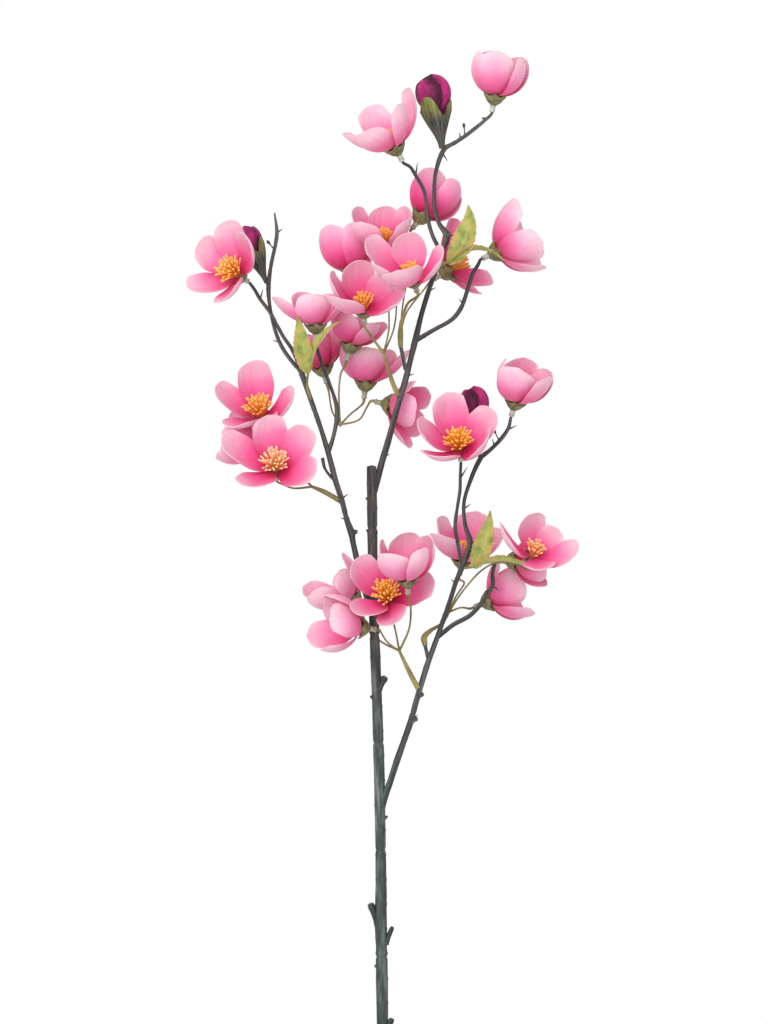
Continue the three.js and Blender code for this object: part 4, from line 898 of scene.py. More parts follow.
def stamen_plastic(add):
    """Soft moulded plastic filaments, yellow-green at the root, orange along the middle and paler
    at the blunt ends. The tone leans some blooms to peach."""
    spot = add("TexCoord").outputs["Object"]
    uv = add("UVMap", uv_map="UVMap")
    v = add("SeparateXYZ", {0: uv}).outputs[1]
    tone = add("Attribute", attribute_name="tone").outputs["Fac"]
    orange = bpy.context.scene.blossom.stamen
    warm = add("ValToRGB", {0: v}, stops=(
        (0.0, "#94701F"), (0.3, orange), (1.0, "#F8B238"),
    ))
    peach = add("ValToRGB", {0: v}, stops=(
        (0.0, "#C9803A"), (0.35, "#F4B45C"), (1.0, "#F8C3A8"),
    ))
    hue = add("Mix", {0: tone, 6: warm, 7: peach}, data_type="RGBA")
    patch = add("TexNoise", {"Vector": spot, "Scale": per_metre(1.43), "Detail": 2.0})
    fleck = add("ValToRGB", {0: patch}, stops=((0.35, "#D87E1E"), (0.65, "#FFD680")))
    colour = add("Mix", {0: 0.25, 6: hue, 7: fleck}, data_type="RGBA")
    normal = add("Bump", {"Height": patch, "Distance": 0.0001, "Strength": 0.5})
    return add("BsdfPrincipled", {"Base Color": colour, "Roughness": 0.5, "Normal": normal})


def green_plastic(add, dark, light, ruddy, patch_size, roughness):
    """Moulded plastic with a dry brushed colour over it: two greens in patches, a ruddy tint where
    a broader noise is high, and a fine grain that runs along the piece. Its UV map runs twice
    round a calyx, so a mark of the grain is about 0.7 mm wide there."""
    spot = add("TexCoord").outputs["Object"]
    uv = add("UVMap", uv_map="UVMap")
    blush_size = patch_size / 0.45
    patch = add("TexNoise", {"Vector": spot, "Scale": per_metre(patch_size), "Detail": 3.0})
    green = add("ValToRGB", {0: patch}, stops=((0.35, dark), (0.65, light)))
    blush = add("TexNoise", {"Vector": spot, "Scale": per_metre(blush_size), "Detail": 2.0})
    over = add("Math", {0: blush, 1: 0.52}, operation="SUBTRACT")
    tint = add("Math", {0: over, 1: 4.0}, operation="MULTIPLY", use_clamp=True)
    colour = add("Mix", {0: tint, 6: green, 7: ruddy}, data_type="RGBA")
    grain_grid = add("Mapping", {"Vector": uv, "Scale": marks(16.8, 12, 0.7, 4)})
    grain = add("TexNoise", {"Vector": grain_grid, "Scale": 1.0, "Detail": 2.0})
    normal = add("Bump", {"Height": grain, "Distance": 0.00015, "Strength": 0.6})
    return add("BsdfPrincipled", {"Base Color": colour, "Roughness": roughness, "Normal": normal})


def milky_plastic(add, dark, light):
    """The clear plastic collar that grips a twig, whitened by stress into 2 mm clouds."""
    spot = add("TexCoord").outputs["Object"]
    cloud = add("TexNoise", {"Vector": spot, "Scale": per_metre(2.0), "Detail": 2.0})
    colour = add("ValToRGB", {0: cloud}, stops=((0.3, dark), (0.7, light)))
    normal = add("Bump", {"Height": cloud, "Distance": 0.0001, "Strength": 0.4})
    return add("BsdfPrincipled", {"Base Color": colour, "Roughness": 0.3, "Normal": normal})


def bark_plastic(add):
    """Moulded bark: dark brown-grey with long lighter grain, olive patches and a bluish cast
    towards the cut foot, where the plastic is barer. Rough and unpolished."""
    spot = add("TexCoord").outputs["Object"]
    uv = add("UVMap", uv_map="UVMap")
    bark = bpy.context.scene.blossom.bark
    unit_size = (TWIG_UNIT, TWIG_UNIT)
    grain_grid = add("Mapping", {"Vector": uv, "Scale": marks(*unit_size, 1.667, 14.29)})
    grain = add("TexNoise", {"Vector": grain_grid, "Scale": 1.0, "Detail": 4.0})
    streak_grid = add("Mapping", {"Vector": uv, "Scale": marks(*unit_size, 5.88, 62.5)})
    streak = add("TexNoise", {"Vector": streak_grid, "Scale": 1.0, "Detail": 3.0})
    fine = add("Math", {0: grain, 1: 0.45}, operation="MULTIPLY")
    fibre = add("Math", {0: streak, 1: 0.55, 2: fine}, operation="MULTIPLY_ADD")
    brown = add("ValToRGB", {0: fibre}, stops=(
        (0.36, "#1E1D1D"), (0.5, bark), (0.68, "#6C6862"),
    ))
    blue = add("ValToRGB", {0: fibre}, stops=(
        (0.36, "#141A1C"), (0.5, "#353D3C"), (0.68, "#6F7876"),
    ))
    patch = add("TexNoise", {"Vector": spot, "Scale": per_metre(16.7), "Detail": 3.0})
    over = add("Math", {0: patch, 1: 0.52}, operation="SUBTRACT")
    olive = add("Math", {0: over, 1: 2.2}, operation="MULTIPLY", use_clamp=True)
    upper = add("Mix", {0: olive, 6: brown, 7: "#565240"}, data_type="RGBA")
    along = add("SeparateXYZ", {0: spot}).outputs[1]
    low = add("MapRange", {0: along, 1: 0.06, 2: -0.12, 3: 0.0, 4: 1.0})
    colour = add("Mix", {0: low, 6: upper, 7: blue}, data_type="RGBA")
    height = add("Math", {0: grain, 1: 0.6, 2: streak}, operation="MULTIPLY_ADD")
    normal = add("Bump", {"Height": height, "Distance": 0.0005, "Strength": 0.8})
    return add("BsdfPrincipled", {"Base Color": colour, "Roughness": 0.7, "Normal": normal})


def cup_plastic(add):
    """Moulded plastic with dry brushed colour: a near black-green cone with lengthwise streaks
    that turns olive where the tone rises towards the sepals, with ruddy patches."""
    spot = add("TexCoord").outputs["Object"]
    uv = add("UVMap", uv_map="UVMap")
    tone = add("Attribute", attribute_name="tone").outputs["Fac"]
    streak_grid = add("Mapping", {"Vector": uv, "Scale": marks(14.4, 30, 1.6, 12)})
    streak = add("TexNoise", {"Vector": streak_grid, "Scale": 1.0, "Detail": 3.0})
    cone = add("ValToRGB", {0: streak}, stops=((0.35, "#242624"), (0.65, "#5B5D54")))
    sepal = add("ValToRGB", {0: streak}, stops=((0.35, "#565A30"), (0.65, "#86854A")))
    green = add("Mix", {0: tone, 6: cone, 7: sepal}, data_type="RGBA")
    blush = add("TexNoise", {"Vector": spot, "Scale": per_metre(7.7), "Detail": 2.0})
    over = add("Math", {0: blush, 1: 0.55}, operation="SUBTRACT")
    tint = add("Math", {0: over, 1: 3.0}, operation="MULTIPLY", use_clamp=True)
    colour = add("Mix", {0: tint, 6: green, 7: "#5E3B38"}, data_type="RGBA")
    normal = add("Bump", {"Height": streak, "Distance": 0.0003, "Strength": 0.7})
    return add("BsdfPrincipled", {
        "Base Color": colour, "Roughness": 0.65, "Specular IOR Level": 0.25, "Normal": normal,
    })


def bud_cloth(add):
    """The wrapped petals of a bud: dark magenta cloth, with painted shade that turns each petal purple
    towards its edges, in the folds and at the rim. It has lengthwise threads, drawn coarser than real
    ones, and a satin sheen."""
    spot = add("TexCoord").outputs["Object"]
    uv = add("UVMap", uv_map="UVMap")
    magenta = bpy.context.scene.blossom.bud
    u = add("SeparateXYZ", {0: uv}).outputs[0]
    tone = add("Attribute", attribute_name="tone").outputs["Fac"]
    blotch = add("TexNoise", {"Vector": spot, "Scale": per_metre(8.33), "Detail": 3.0})
    uneven = add("Math", {0: blotch, 1: 0.5}, operation="SUBTRACT")
    across = add("Math", {0: u, 1: 0.5}, operation="SUBTRACT")
    side = add("Math", {0: across}, operation="ABSOLUTE")
    depth = tone
    # The side share darkens each wrapped petal towards its edges: painted shade in the folds where the
    # wraps tuck under one another, which leaves the middle lighter
    for part, share in ((side, 1.3), (uneven, 1.2)):
        depth = add("Math", {0: part, 1: share, 2: depth}, operation="MULTIPLY_ADD")
    colour = add("ValToRGB", {0: depth}, stops=(
        (0.0, "#B02C72"), (0.26, magenta), (0.5, "#58103A"), (0.8, "#300A22"),
    ))
    thread_grid = add("Mapping", {"Vector": uv, "Scale": marks(26, 32, 0.433, 8)})
    thread = add("TexNoise", {"Vector": thread_grid, "Scale": 1.0, "Detail": 2.0})
    normal = add("Bump", {"Height": thread, "Distance": 0.00015, "Strength": 0.6})
    return add("BsdfPrincipled", {
        "Base Color": colour, "Roughness": 0.6, "Specular IOR Level": 0.2, "Normal": normal,
    })


def leaf_cloth(add):
    """Printed polyester leaf: yellow-green with paler veins, darker green in patches, and a rim
    that turns orange and pink. The veins are pressed in: side veins where a slanting sine passes
    zero, and the midrib as a high power of the nearness to it."""
    spot = add("TexCoord").outputs["Object"]
    uv = add("UVMap", uv_map="UVMap")
    green = bpy.context.scene.blossom.leaf
    u, v, _ = add("SeparateXYZ", {0: uv}).outputs
    across = add("Math", {0: u, 1: 0.5}, operation="SUBTRACT")
    side = add("Math", {0: across}, operation="ABSOLUTE")
    patch = add("TexNoise", {"Vector": spot, "Scale": per_metre(6.25), "Detail": 3.0})
    printed = add("ValToRGB", {0: patch}, stops=(
        (0.3, "#76863A"), (0.5, green), (0.75, "#C4AE56"),
    ))
    slant = add("Math", {0: side, 1: -0.34, 2: v}, operation="MULTIPLY_ADD")
    phase = add("Math", {0: slant, 1: 26.0}, operation="MULTIPLY")
    wave = add("Math", {0: phase}, operation="SINE")
    swing = add("Math", {0: wave}, operation="ABSOLUTE")
    near_vein = add("Math", {0: 1.0, 1: swing}, operation="SUBTRACT")
    near_rib = add("Math", {0: 1.0, 1: side}, operation="SUBTRACT")
    lateral = add("Math", {0: near_vein, 1: 4.0}, operation="POWER")
    midrib = add("Math", {0: near_rib, 1: 34.0}, operation="POWER")
    vein = add("Math", {0: lateral, 1: midrib}, operation="ADD", use_clamp=True)
    pale = add("Math", {0: vein, 1: 0.35}, operation="MULTIPLY")
    veined = add("Mix", {0: pale, 6: printed, 7: "#D5D48A"}, data_type="RGBA")
    uneven = add("Math", {0: patch, 1: 0.5}, operation="SUBTRACT")
    edge = add("Math", {0: uneven, 1: 0.5, 2: side}, operation="MULTIPLY_ADD")
    rim = add("MapRange", {0: edge, 1: 0.4, 2: 0.54, 3: 0.0, 4: 0.7})
    colour = add("Mix", {0: rim, 6: veined, 7: "#D08A70"}, data_type="RGBA")
    normal = add("Bump", {"Height": vein, "Distance": 0.0003, "Strength": 0.7})
    cloth = add("BsdfPrincipled", {
        "Base Color": colour, "Roughness": 0.55, "Sheen Weight": 0.15, "Normal": normal,
    })
    through = add("BsdfTranslucent", {"Color": colour})
    return add("MixShader", {0: 0.15, 1: cloth, 2: through})


def lit_acrylic(add):
    """A white acrylic sheet lit from below, which glows evenly."""
    return add("Emission", {"Color": "#FFFFFF", "Strength": 1.0})


# Each material's name and the function that makes its shader, then its colours, the size of its
# patches and its roughness where several materials share a function
MATERIALS = {
    "petal": ("petal_cloth_airbrushed", petal_cloth),
    "stamen": ("stamen_plastic_moulded", stamen_plastic),
    "bark": ("bark_plastic_moulded", bark_plastic),
    "cup": ("bud_cup_plastic_brushed", cup_plastic),
    "bud": ("bud_cloth_dyed", bud_cloth),
    "leaf": ("leaf_cloth_printed", leaf_cloth),
    "table": ("light_table_acrylic", lit_acrylic),
    "collar": ("collar_plastic_milky", milky_plastic, "#8C8F84", "#C6C7BF"),
    "sprig_collar": ("collar_plastic_green", milky_plastic, "#7C7A60", "#B0AF9E"),
    "calyx": (
        "calyx_plastic_brushed", green_plastic, "#55553A", "#85804C", "#624436", 3.03, 0.55
    ),
    "sawn": ("sawn_end_plastic", green_plastic, "#5C5A40", "#8E8A66", "#453D33", 3.33, 0.6),
    "stalk": ("stalk_plastic_moulded", green_plastic, "#6A6338", "#968A50", "#7E5E3C", 9.1, 0.5),
}
MADE = {}


def material(kind):
    """The node material of a kind, made once: its maker's shader, linked to the output. The maker
    gets the function that adds a node, with the material's tree already given."""
    if kind not in MADE:
        name, maker, *details = MATERIALS[kind]
        made = bpy.data.materials.new(name)
        made.use_nodes = True
        made.node_tree.nodes.clear()
        add = functools.partial(add_node, made.node_tree)
        add("OutputMaterial", {"Surface": maker(add, *details)})
        MADE[kind] = made
    return MADE[kind]


# Pieces

def bloom_frame(number):
    """The axes and the base of a numbered bloom."""
    return flower_frame(*BLOOMS[number][:3])


def add_twig(skin, path, kind_of_sides, rough, seed, kind=0, step=1.5):
    """Adds one twig to a skin, with its UV map measured along it."""
    rings, along = swept(path, SIDES[kind_of_sides], step, rough, seed)
    skin.tube(rings, TWIG_ROUND, along / TWIG_UNIT, kind=kind)


def straight_path(foot, tip, places, radii):
    """A straight path from foot to tip, with a radius at each share of the way."""
    spots = foot + (tip - foot) * np.array(places)[:, None]
    return [(*spot, radius) for spot, radius in zip(spots, radii)]


def collar_end(frame, tip):
    """The last points of a twig or stalk, on the bloom's axis and measured from the foot of its
    collar."""
    return [(*on_axis(frame, -COLLAR_LENGTH + past), radius) for past, radius in tip]


def add_thorn(skin, foot, tip):
    """Adds a thorn that narrows evenly from foot to tip."""
    foot, tip = np.array(foot, float), np.array(tip, float)
    middle = foot + (tip - foot) * 0.5
    path = [(*foot, THORN[0]), (*middle, sum(THORN) / 2), (*tip, THORN[1])]
    add_twig(skin, path, "thorn", RELIEF["thorn"], float(foot[1]), step=0.8)


def add_stub(skin, foot, tip, wide, sharp):
    """Adds a cut-off side shoot: a tube that flares at its foot, swells again round the cut and
    ends in a low dome of paler plastic."""
    foot, tip = np.array(foot, float), np.array(tip, float)
    near, far = [wide * share for share in STUB["foot"]], [sharp * share for share in STUB["cut"]]
    path = straight_path(foot, tip, STUB["places"], (*near, (wide + sharp) / 2, *far))
    add_twig(skin, path, "stub", RELIEF["stub"], float(foot[1]), step=0.7)
    way = unit(tip - foot)
    rim = (*(tip - way * STUB_FACE["sunk"]), sharp * STUB_FACE["rim"])
    top = (*(tip + way * STUB_FACE["raised"]), sharp * STUB_FACE["top"])
    add_twig(skin, [rim, top], "cut", 0.0, 0.0, kind=1, step=0.3)


def add_knob(skin, foot, tip, seed):
    """Adds a small knob on a short stalk."""
    foot, tip = np.array(foot, float), np.array(tip, float)
    path = straight_path(foot, tip, KNOB["places"], KNOB["radii"])
    add_twig(skin, path, "knob", RELIEF["knob"], seed, step=0.6)


def make_stem(settings):
    """The main stem with its stubs, as one piece."""
    skin = Skin()
    path = [(x, y, FOOT["z"] + (y - FOOT["y"]) * FOOT["slope"], r) for x, y, r in STEM]
    add_twig(skin, path, "stem", settings.bark_relief, 1.0, step=0.8)
    for stub in STEM_STUBS:
        add_stub(skin, *stub)
    skin.piece("stem_bark", ("bark", "sawn"), "stem")


def make_branch(name, branch, settings):
    """A branch with its twigs, pegs, thorns and its knob on a short stalk. A twig that holds a
    bloom runs on along the bloom's axis into its collar."""
    skin = Skin()
    rough = settings.bark_relief
    add_twig(skin, branch["main"], "branch", rough, 2.0, step=1.2)
    for index, (bloom, path) in enumerate(branch["twigs"]):
        end = collar_end(bloom_frame(bloom), TWIG_TIP) if bloom else []
        add_twig(skin, path + end, "twig", rough, 3.0 + index, step=1.2)
    root, bud = branch["bud"]
    inside = on_axis(flower_frame(*BUDS[bud][:3]), PEG_DEPTH)
    add_twig(skin, [(*root, BUD_PEG[0]), (*inside, BUD_PEG[1])], "peg", rough, 7.0)
    for index, path in enumerate(branch["pegs"]):
        add_twig(skin, path, "peg", rough, 8.0 + index)
    for thorn in branch["thorns"]:
        add_thorn(skin, *thorn)
    for stub in branch["stubs"]:
        add_stub(skin, *stub)
    add_knob(skin, *branch["knob"], 5.0)
    node = "branch_" + name
    skin.piece(node + "_bark", ("bark", "sawn"), node)


def add_stamens(skin, number, frame, settings, kind):
    """Adds a bloom's filaments: they stand on a disc in a sunflower pattern, lean outward by
    their place in it, and end bluntly at uneven heights."""
    rises = [petal[1] for petal in BLOOMS[number][3]]
    usual = "wide" if sum(rises) / PETAL_COUNT < WIDE_RISE else "closed"
    if usual == "closed" and min(rises) < OPEN_RISE:
        usual = "open"
    reach, tall, count = STAMENS[usual]
    order = np.arange(int(count * settings.filament_share))
    azimuth = (order * GOLDEN_TURN + number)[:, None]
    share = np.sqrt((order + 0.5) / len(order))[:, None]
    up = np.linspace(0, 1, len(FILAMENT))
    radial = DISC["radius"] * share + (reach - DISC["radius"]) * share * up ** UNEVEN["flare"]
    random = UNEVEN["random"] * spread(number, order, 6)[:, None]
    height = tall * (1 - UNEVEN["shorter"] * share**2 + random)
    rise = DISC["height"] - DISC["sunk"] + height * up
    thick = settings.filament_radius * np.array(FILAMENT)[:, None]
    angle = around(SIDES["filament"])
    rings = np.stack([
        (radial * np.cos(azimuth))[..., None] + thick * np.cos(angle),
        (radial * np.sin(azimuth))[..., None] + thick * np.sin(angle),
        np.broadcast_to(rise[..., None], (*rise.shape, len(angle))),
    ], axis=-1)
    hue = STAMEN_HUE.get(number, USUAL_HUE)
    for ring in placed(rings, frame):
        skin.tube(ring, v=up, tone=hue, kind=kind, dome=UNEVEN["blunt"])


def add_calyx(skin, frame, kind):
    """Adds the star of sepals under the petals: a turned cup whose rim runs out to five points
    that bend up, then back under the petals to the axis."""
    angle = around(SIDES["calyx"])
    turns = angle * PETAL_COUNT / FULL_TURN
    star = np.abs(2 * (turns % 1.0) - 1) ** CALYX["sharpness"]
    rim = CALYX["rim"] + (CALYX["point"] - CALYX["rim"]) * star
    rows = [turned(r, angle, z) for z, r in CALYX_CUP]
    for inner, share, z, bend in SEPAL_ROWS:
        rows.append(turned(inner + (rim - inner) * share, angle, z + bend * star))
    z, r = CALYX_TOP
    rows.append(turned(r, angle, z))
    skin.tube(placed(np.array(rows), frame), 2.0, kind=kind, dome=0.1)


def add_collar(skin, frame, kind):
    """Adds the short collar between a twig and the cup: a tube with a thicker lip at each end."""
    rows = [turned(r, around(SIDES["collar"]), z) for z, r in COLLAR]
    skin.tube(placed(np.array(rows), frame), kind=kind, dome=0.0)


def make_heart(number, settings, collar, node):
    """A bloom's calyx, collar and stamens as one piece with three materials."""
    frame = bloom_frame(number)
    skin = Skin()
    add_calyx(skin, frame, 0)
    add_collar(skin, frame, 1)
    add_stamens(skin, number, frame, settings, 2)
    kinds = ("calyx", collar, "stamen")
    skin.piece(f"heart_{number:02d}_parts", kinds, node)


def make_petals(number, settings):
    """The five petals of a bloom as one piece of thin closed shells. What would dip below the
    surface that the spray lies on is pressed flat against it."""
    frame = bloom_frame(number)
    skin = Skin()
    across = edge_spaced(PETAL_COLUMNS)
    down = tip_spaced(PETAL_ROWS)
    u, v = np.meshgrid(across, down)
    for k, petal in enumerate(BLOOMS[number][3]):
        laid = placed(petal_middle(u, v, petal, number, k, settings.ruffle), frame)
        laid[..., 2] = np.maximum(laid[..., 2], settings.petal_thickness / 2)
        rings = shell(laid, settings.petal_thickness)
        # The bloom's value deepens blooms that lie behind or under others as painted shade, and each
        # petal's share is a random difference in dye
        tone = DYE_AND_SHADE.get(number, 0.0) + VARIES["dye"] * float(spread(number, k, 8))
        skin.blade(rings, (across + 1) / 2, down, tone)
    node = f"petals_{number:02d}"
    skin.piece(node + "_cloth", ("petal",), node)


def spindle(path):
    """A sleeve's path, with its radius swelled in the lower part and slender towards its top. The
    swelling is a bell curve centred a quarter of the way up."""
    made = []
    for index, (x, y, z, r) in enumerate(path):
        off = (index / (len(path) - 1) - SWELL["place"]) / SWELL["width"]
        made.append((x, y, z, r * (SWELL["least"] + SWELL["more"] * math.exp(-(off**2)))))
    return made


def make_sprig(name, sprig, settings):
    """A sprig's sleeve and stalks, and the hearts of its blooms, for the sprig's one node."""
    node = "sprig_" + name
    skin = Skin()
    add_twig(skin, spindle(sprig["sleeve"]), "sleeve", RELIEF["sleeve"], 1.0, step=1.0)
    for number, path in sprig["stalks"].items():
        thin = [(x, y, z, r * STALK_SHARE) for x, y, z, r in path]
        end = collar_end(bloom_frame(number), STALK_TIP)
        add_twig(skin, thin + end, "stalk", RELIEF["stalk"], float(number), step=1.2)
        make_heart(number, settings, "sprig_collar", node)
    skin.piece(node + "_stalks", ("stalk",), node)


def make_wraps(name, wraps, frame, scale):
    """A bud's wrapped petals over a dark core. Each petal is a part of the bud's profile that
    winds outward, with a lobed top."""
    skin = Skin()
    angle = around(SIDES["core"])
    heights = np.linspace(*CORE_HEIGHTS, CORE_ROWS)[:, None]
    core = turned(profile_at(BUD_PROFILE, heights) - WRAP["gap"], angle, heights) * scale
    skin.tube(placed(core, frame), 4.0, tone=0.3, dome=0.4)
    across = edge_spaced(WRAP_COLUMNS)
    down = tip_spaced(WRAP_ROWS)
    u, v = np.meshgrid(across, down)
    half = math.radians(WRAP["half"])
    for k, azimuth in enumerate(wraps):
        top = WRAP["top"] - WRAP["drop"] * (k % 2)
        z = WRAP["foot"] + (top - WRAP["foot"]) * (v - WIND["lobe"] * v**3 * np.abs(u) ** 2.2)
        spiral = WIND["out"] * u + WIND["next"] * k
        wave = WIND["wave"] * v**3 * np.sin(4 * u + 2 * k)
        radius = profile_at(BUD_PROFILE, z) - WRAP["inset"] + spiral + wave
        turn = math.radians(azimuth) + u * half * np.minimum(1, WIND["narrow"] + v)
        rings = shell(turned(radius, turn, z) * scale, CLOTH)
        skin.blade(placed(rings, frame), (across + 1) / 2, down, WIND["dye"] * k)
    node = "bud_petals_" + name
    skin.piece(node + "_cloth", ("bud",), node)


def make_cup(name, sepals, frame, scale):
    """A bud's cup, which runs out into rounded sepals. The height of its rim is the sum of a
    smooth hump for each sepal, and its lining runs back down beside the petals."""
    skin = Skin()
    degrees = np.arange(SIDES["cup"]) / SIDES["cup"] * 360
    rim = np.full(SIDES["cup"], CUP["rim"])
    for azimuth, height, half in sepals:
        off = (degrees - azimuth + 180) % 360 - 180
        rim = rim + height * np.exp(-(np.abs(off / half) ** 3.0))
    share = np.concatenate([np.linspace(0, 1, CUP_ROWS), np.linspace(*CUP_LINING, CUP_LINING_ROWS)])
    inward = np.repeat([0.0, CUP["wall"]], (CUP_ROWS, CUP_LINING_ROWS))[:, None]
    z = share[:, None] * rim
    wave = np.sin(np.radians(degrees) * FLUTES["count"] + FLUTES["twist"] * z)
    flute = 1 + FLUTES["depth"] * wave * np.minimum(1, z / FLUTES["fade"])
    radius = (profile_at(CUP_PROFILE, z) + CUP["stand"]) * flute - inward
    tone = np.clip((z - CUP["cone"]) / CUP["blend"], 0, 1)
    cup = turned(radius, np.radians(degrees), z) * scale
    skin.tube(placed(cup, frame), 4.0, share, tone, dome=0.0)
    node = "bud_calyx_" + name
    skin.piece(node + "_plastic", ("cup",), node)


def make_bud(name):
    """A bud: its wrapped petals and its cup, each of them a piece."""
    base, heading, tilt, size, girth, wraps, sepals = BUDS[name]
    frame = flower_frame(base, heading, tilt)
    scale = size * np.array([girth, girth, 1.0])
    make_wraps(name, wraps, frame, scale)
    make_cup(name, sepals, frame, scale)


def add_leaf(skin, rib, side, half, k):
    """Adds a leaf blade along a quadratic curve, folded along it. Its width is a sine that teeth
    notch towards the tip, and its halves ripple."""
    down = np.linspace(0, 1, LEAF_ROWS)
    across = edge_spaced(LEAF_COLUMNS)
    u, v = np.meshgrid(across, down)
    start, control, end = np.array(rib, float)
    t = down[:, None]
    spine = (1 - t) ** 2 * start + 2 * t * (1 - t) * control + t**2 * end
    along = unit(2 * (1 - t) * (control - start) + 2 * t * (end - control))
    side = np.array(side, float)
    side = unit(side - along * (along @ side)[:, None])
    face = np.cross(side, along)
    tooth = 1 - LEAF["tooth"] * ((down * LEAF["teeth"]) % 1.0) * np.minimum(1, 6 * (1 - down))
    width = np.maximum(half * np.sin(math.pi * (0.06 + 0.93 * down**0.8)), LEAF["least"]) * tooth
    fold = math.radians(LEAF["fold"])
    bent = np.sqrt(u**2 + LEAF["bend"]) - math.sqrt(LEAF["bend"])
    ripple = LEAF["ripple"] * np.sin(14 * v + 2 * k) * u**2
    middle = (
        spine[:, None, :]
        + side[:, None, :] * (u * width[:, None] * math.cos(fold))[..., None]
        + face[:, None, :] * (bent * width[:, None] * math.sin(fold) + ripple)[..., None]
    )
    skin.blade(shell(middle, CLOTH), (across + 1) / 2, down)


def make_leaves(name):
    """A pair of leaf blades on a short stalk."""
    stalk, blades = LEAVES[name]
    skin = Skin()
    add_twig(skin, stalk, "stalk", RELIEF["leaf"], 1.0, kind=1)
    for k, blade in enumerate(blades):
        add_leaf(skin, *blade, k)
    node = "leaves_" + name
    skin.piece(node + "_cloth", ("leaf", "stalk"), node)


# Add-on parts

def size_setting(name, description, default, least, most):
    """A number that a user can change, between two limits."""
    return bpy.props.FloatProperty(
        name=name, description=description, default=default, min=least, max=most
    )


def dye_setting(name, description, code):
    """A colour that a user can change, with a #RRGGBB default."""
    return bpy.props.FloatVectorProperty(
        name=name, description=description, subtype="COLOR", size=3, min=0, max=1,
        default=linear(code)[:3],
    )


class BlossomSettings(bpy.types.PropertyGroup):
    """Sizes in millimetres, shares and colours of the spray"""

    ruffle: size_setting("Ruffle", "How far a petal's rim waves, in millimetres", 0.5, 0, 2)
    petal_thickness: size_setting(
        "Petal thickness", "Thickness of the petal cloth in millimetres", 0.4, 0.1, 1
    )
    filament_radius: size_setting(
        "Filament radius", "Radius of a stamen's filament in millimetres", 0.5, 0.2, 1
    )
    filament_share: size_setting(
        "Filaments", "Number of filaments as a share of the usual number", 1.0, 0.2, 2
    )
    bark_relief: size_setting(
        "Bark relief", "Height of the bark relief as a share of a twig's radius", 0.1, 0, 0.3
    )
    petal_base: dye_setting("Petal base", "Dye at a petal's claw", "#DF2A70")
    petal_middle: dye_setting("Petal middle", "Dye at a petal's middle", "#F164A4")
    petal_tip: dye_setting("Petal rim", "Dye at a petal's rim", "#F6BAD5")
    stamen: dye_setting("Stamens", "Colour of the filaments", "#F09A1C")
    bark: dye_setting("Bark", "Colour of the bark", "#3B3939")
    bud: dye_setting("Buds", "Dye of the wrapped bud petals", "#8C2058")
    leaf: dye_setting("Leaves", "Colour of the leaf blades", "#A3A850")


class BLOSSOM_OT_stem(bpy.types.Operator):
    """Builds the main stem and the three branches"""

    bl_idname = "blossom.stem"
    bl_label = "Stem and branches"

    def execute(self, context):
        settings = context.scene.blossom
        make_stem(settings)
        for name, branch in BRANCHES.items():
            make_branch(name, branch, settings)
        return {"FINISHED"}


class BLOSSOM_OT_sprigs(bpy.types.Operator):
    """Builds the sprigs and the hearts of all blooms"""

    bl_idname = "blossom.sprigs"
    bl_label = "Sprigs and hearts"

    def execute(self, context):
        settings = context.scene.blossom
        for name, sprig in SPRIGS.items():
            make_sprig(name, sprig, settings)
        on_twigs = [bloom for branch in BRANCHES.values() for bloom, _ in branch["twigs"] if bloom]
        for number in on_twigs:
            make_heart(number, settings, "collar", f"heart_{number:02d}")
        return {"FINISHED"}


class BLOSSOM_OT_petals(bpy.types.Operator):
    """Builds the petals of all blooms"""

    bl_idname = "blossom.petals"
    bl_label = "Petals"

    def execute(self, context):
        for number in BLOOMS:
            make_petals(number, context.scene.blossom)
        return {"FINISHED"}


class BLOSSOM_OT_buds(bpy.types.Operator):
    """Builds the three buds"""

    bl_idname = "blossom.buds"
    bl_label = "Buds"

    def execute(self, context):
        for name in BUDS:
            make_bud(name)
        return {"FINISHED"}


class BLOSSOM_OT_leaves(bpy.types.Operator):
    """Builds the three pairs of leaves"""

    bl_idname = "blossom.leaves"
    bl_label = "Leaves"

    def execute(self, context):
        for name in LEAVES:
            make_leaves(name)
        return {"FINISHED"}


def make_light_table():
    """The lit white surface that the spray lies on: one square that glows as white acrylic."""
    mesh = bpy.data.meshes.new("light_table")
    reach = TABLE_REACH
    corners = [(-reach, -reach, 0), (reach, -reach, 0), (reach, reach, 0), (-reach, reach, 0)]
    mesh.from_pydata(corners, [], [(0, 1, 2, 3)])
    mesh.materials.append(material("table"))
    floor = bpy.data.objects.new("light_table", mesh)
    bpy.context.scene.collection.objects.link(floor)


def make_lights(scene):
    """An even white room, and one soft box above and to the left that gives the petals shade."""
    world = bpy.data.worlds.new("soft_room")
    world.use_nodes = True
    colour, strength = world.node_tree.nodes["Background"].inputs[:2]
    colour.default_value = (1, 1, 1, 1)
    strength.default_value = ROOM_LIGHT
    scene.world = world
    lamp = bpy.data.lights.new("soft_box", "AREA")
    lamp.shape = "SQUARE"
    lamp.size = LAMP["size"]
    lamp.energy = LAMP["watts"]
    light = bpy.data.objects.new("soft_box", lamp)
    light.location = LAMP["place"]
    light.rotation_euler = (*np.radians(LAMP["lean"]), 0)
    scene.collection.objects.link(light)


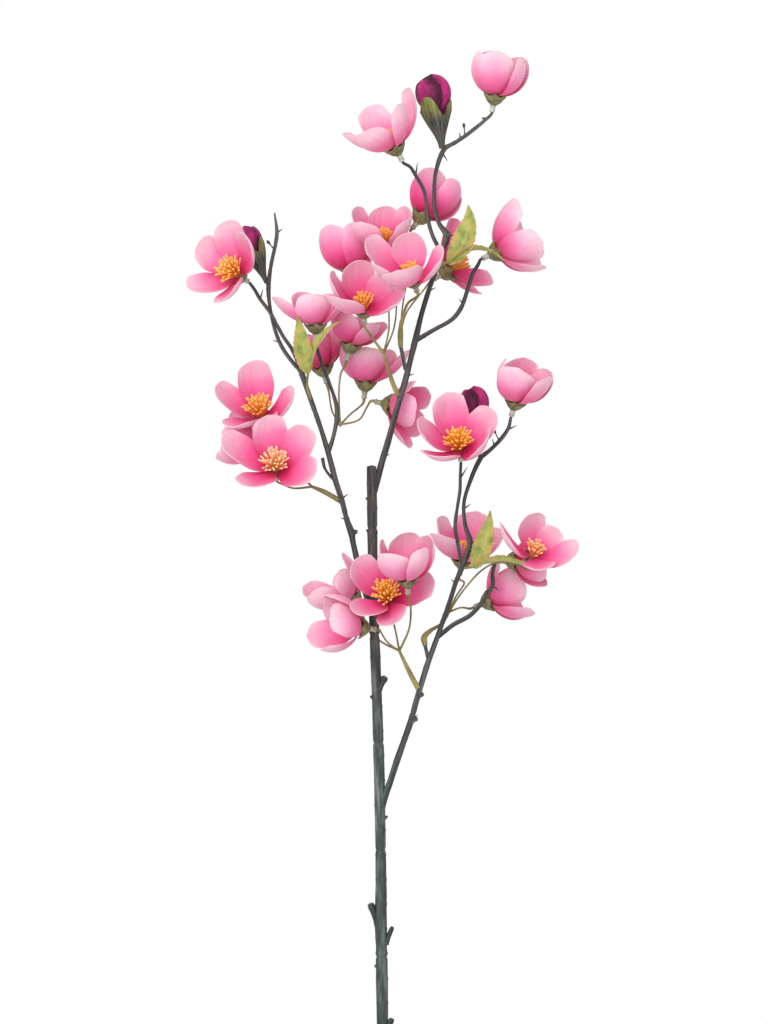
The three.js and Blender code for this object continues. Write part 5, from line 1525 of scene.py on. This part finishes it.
def make_camera(scene):
    """A camera straight above. Its lens is the sensor times its height over what it shows."""
    view = bpy.data.cameras.new("camera")
    view.sensor_width = CAMERA["sensor"]
    view.lens = CAMERA["sensor"] * CAMERA["place"][2] / FRAME_HEIGHT
    view.clip_start, view.clip_end = CAMERA_REACH
    camera = bpy.data.objects.new("camera", view)
    camera.location = [value * MM for value in CAMERA["place"]]
    scene.collection.objects.link(camera)
    scene.camera = camera


class BLOSSOM_OT_stage(bpy.types.Operator):
    """Adds the lit white surface, the soft lights and the camera"""

    bl_idname = "blossom.stage"
    bl_label = "Stage"

    def execute(self, context):
        make_light_table()
        make_lights(context.scene)
        make_camera(context.scene)
        context.scene.view_settings.view_transform = "Standard"
        return {"FINISHED"}


class BLOSSOM_PT_panel(bpy.types.Panel):
    """Sizes, colours and the steps that build the spray"""

    bl_label = "Apple blossom"
    bl_idname = "BLOSSOM_PT_panel"
    bl_space_type = "VIEW_3D"
    bl_region_type = "UI"
    bl_category = "Blossom"

    def draw(self, context):
        settings = context.scene.blossom
        for name in BlossomSettings.__annotations__:
            self.layout.prop(settings, name)
        for step in STEPS:
            self.layout.operator(step.bl_idname)


STEPS = (
    BLOSSOM_OT_stem, BLOSSOM_OT_sprigs, BLOSSOM_OT_petals, BLOSSOM_OT_buds, BLOSSOM_OT_leaves,
    BLOSSOM_OT_stage,
)
CLASSES = (BlossomSettings, *STEPS, BLOSSOM_PT_panel)


def register():
    """Makes the settings, steps and panel known to Blender."""
    for part in CLASSES:
        bpy.utils.register_class(part)
    bpy.types.Scene.blossom = bpy.props.PointerProperty(type=BlossomSettings)


def unregister():
    """Takes them away again."""
    del bpy.types.Scene.blossom
    for part in reversed(CLASSES):
        bpy.utils.unregister_class(part)


def main():
    """Builds the spray and its stage step by step."""
    register()
    bpy.ops.blossom.stem()
    bpy.ops.blossom.sprigs()
    bpy.ops.blossom.petals()
    bpy.ops.blossom.buds()
    bpy.ops.blossom.leaves()
    bpy.ops.blossom.stage()


if __name__ == "__main__":
    main()
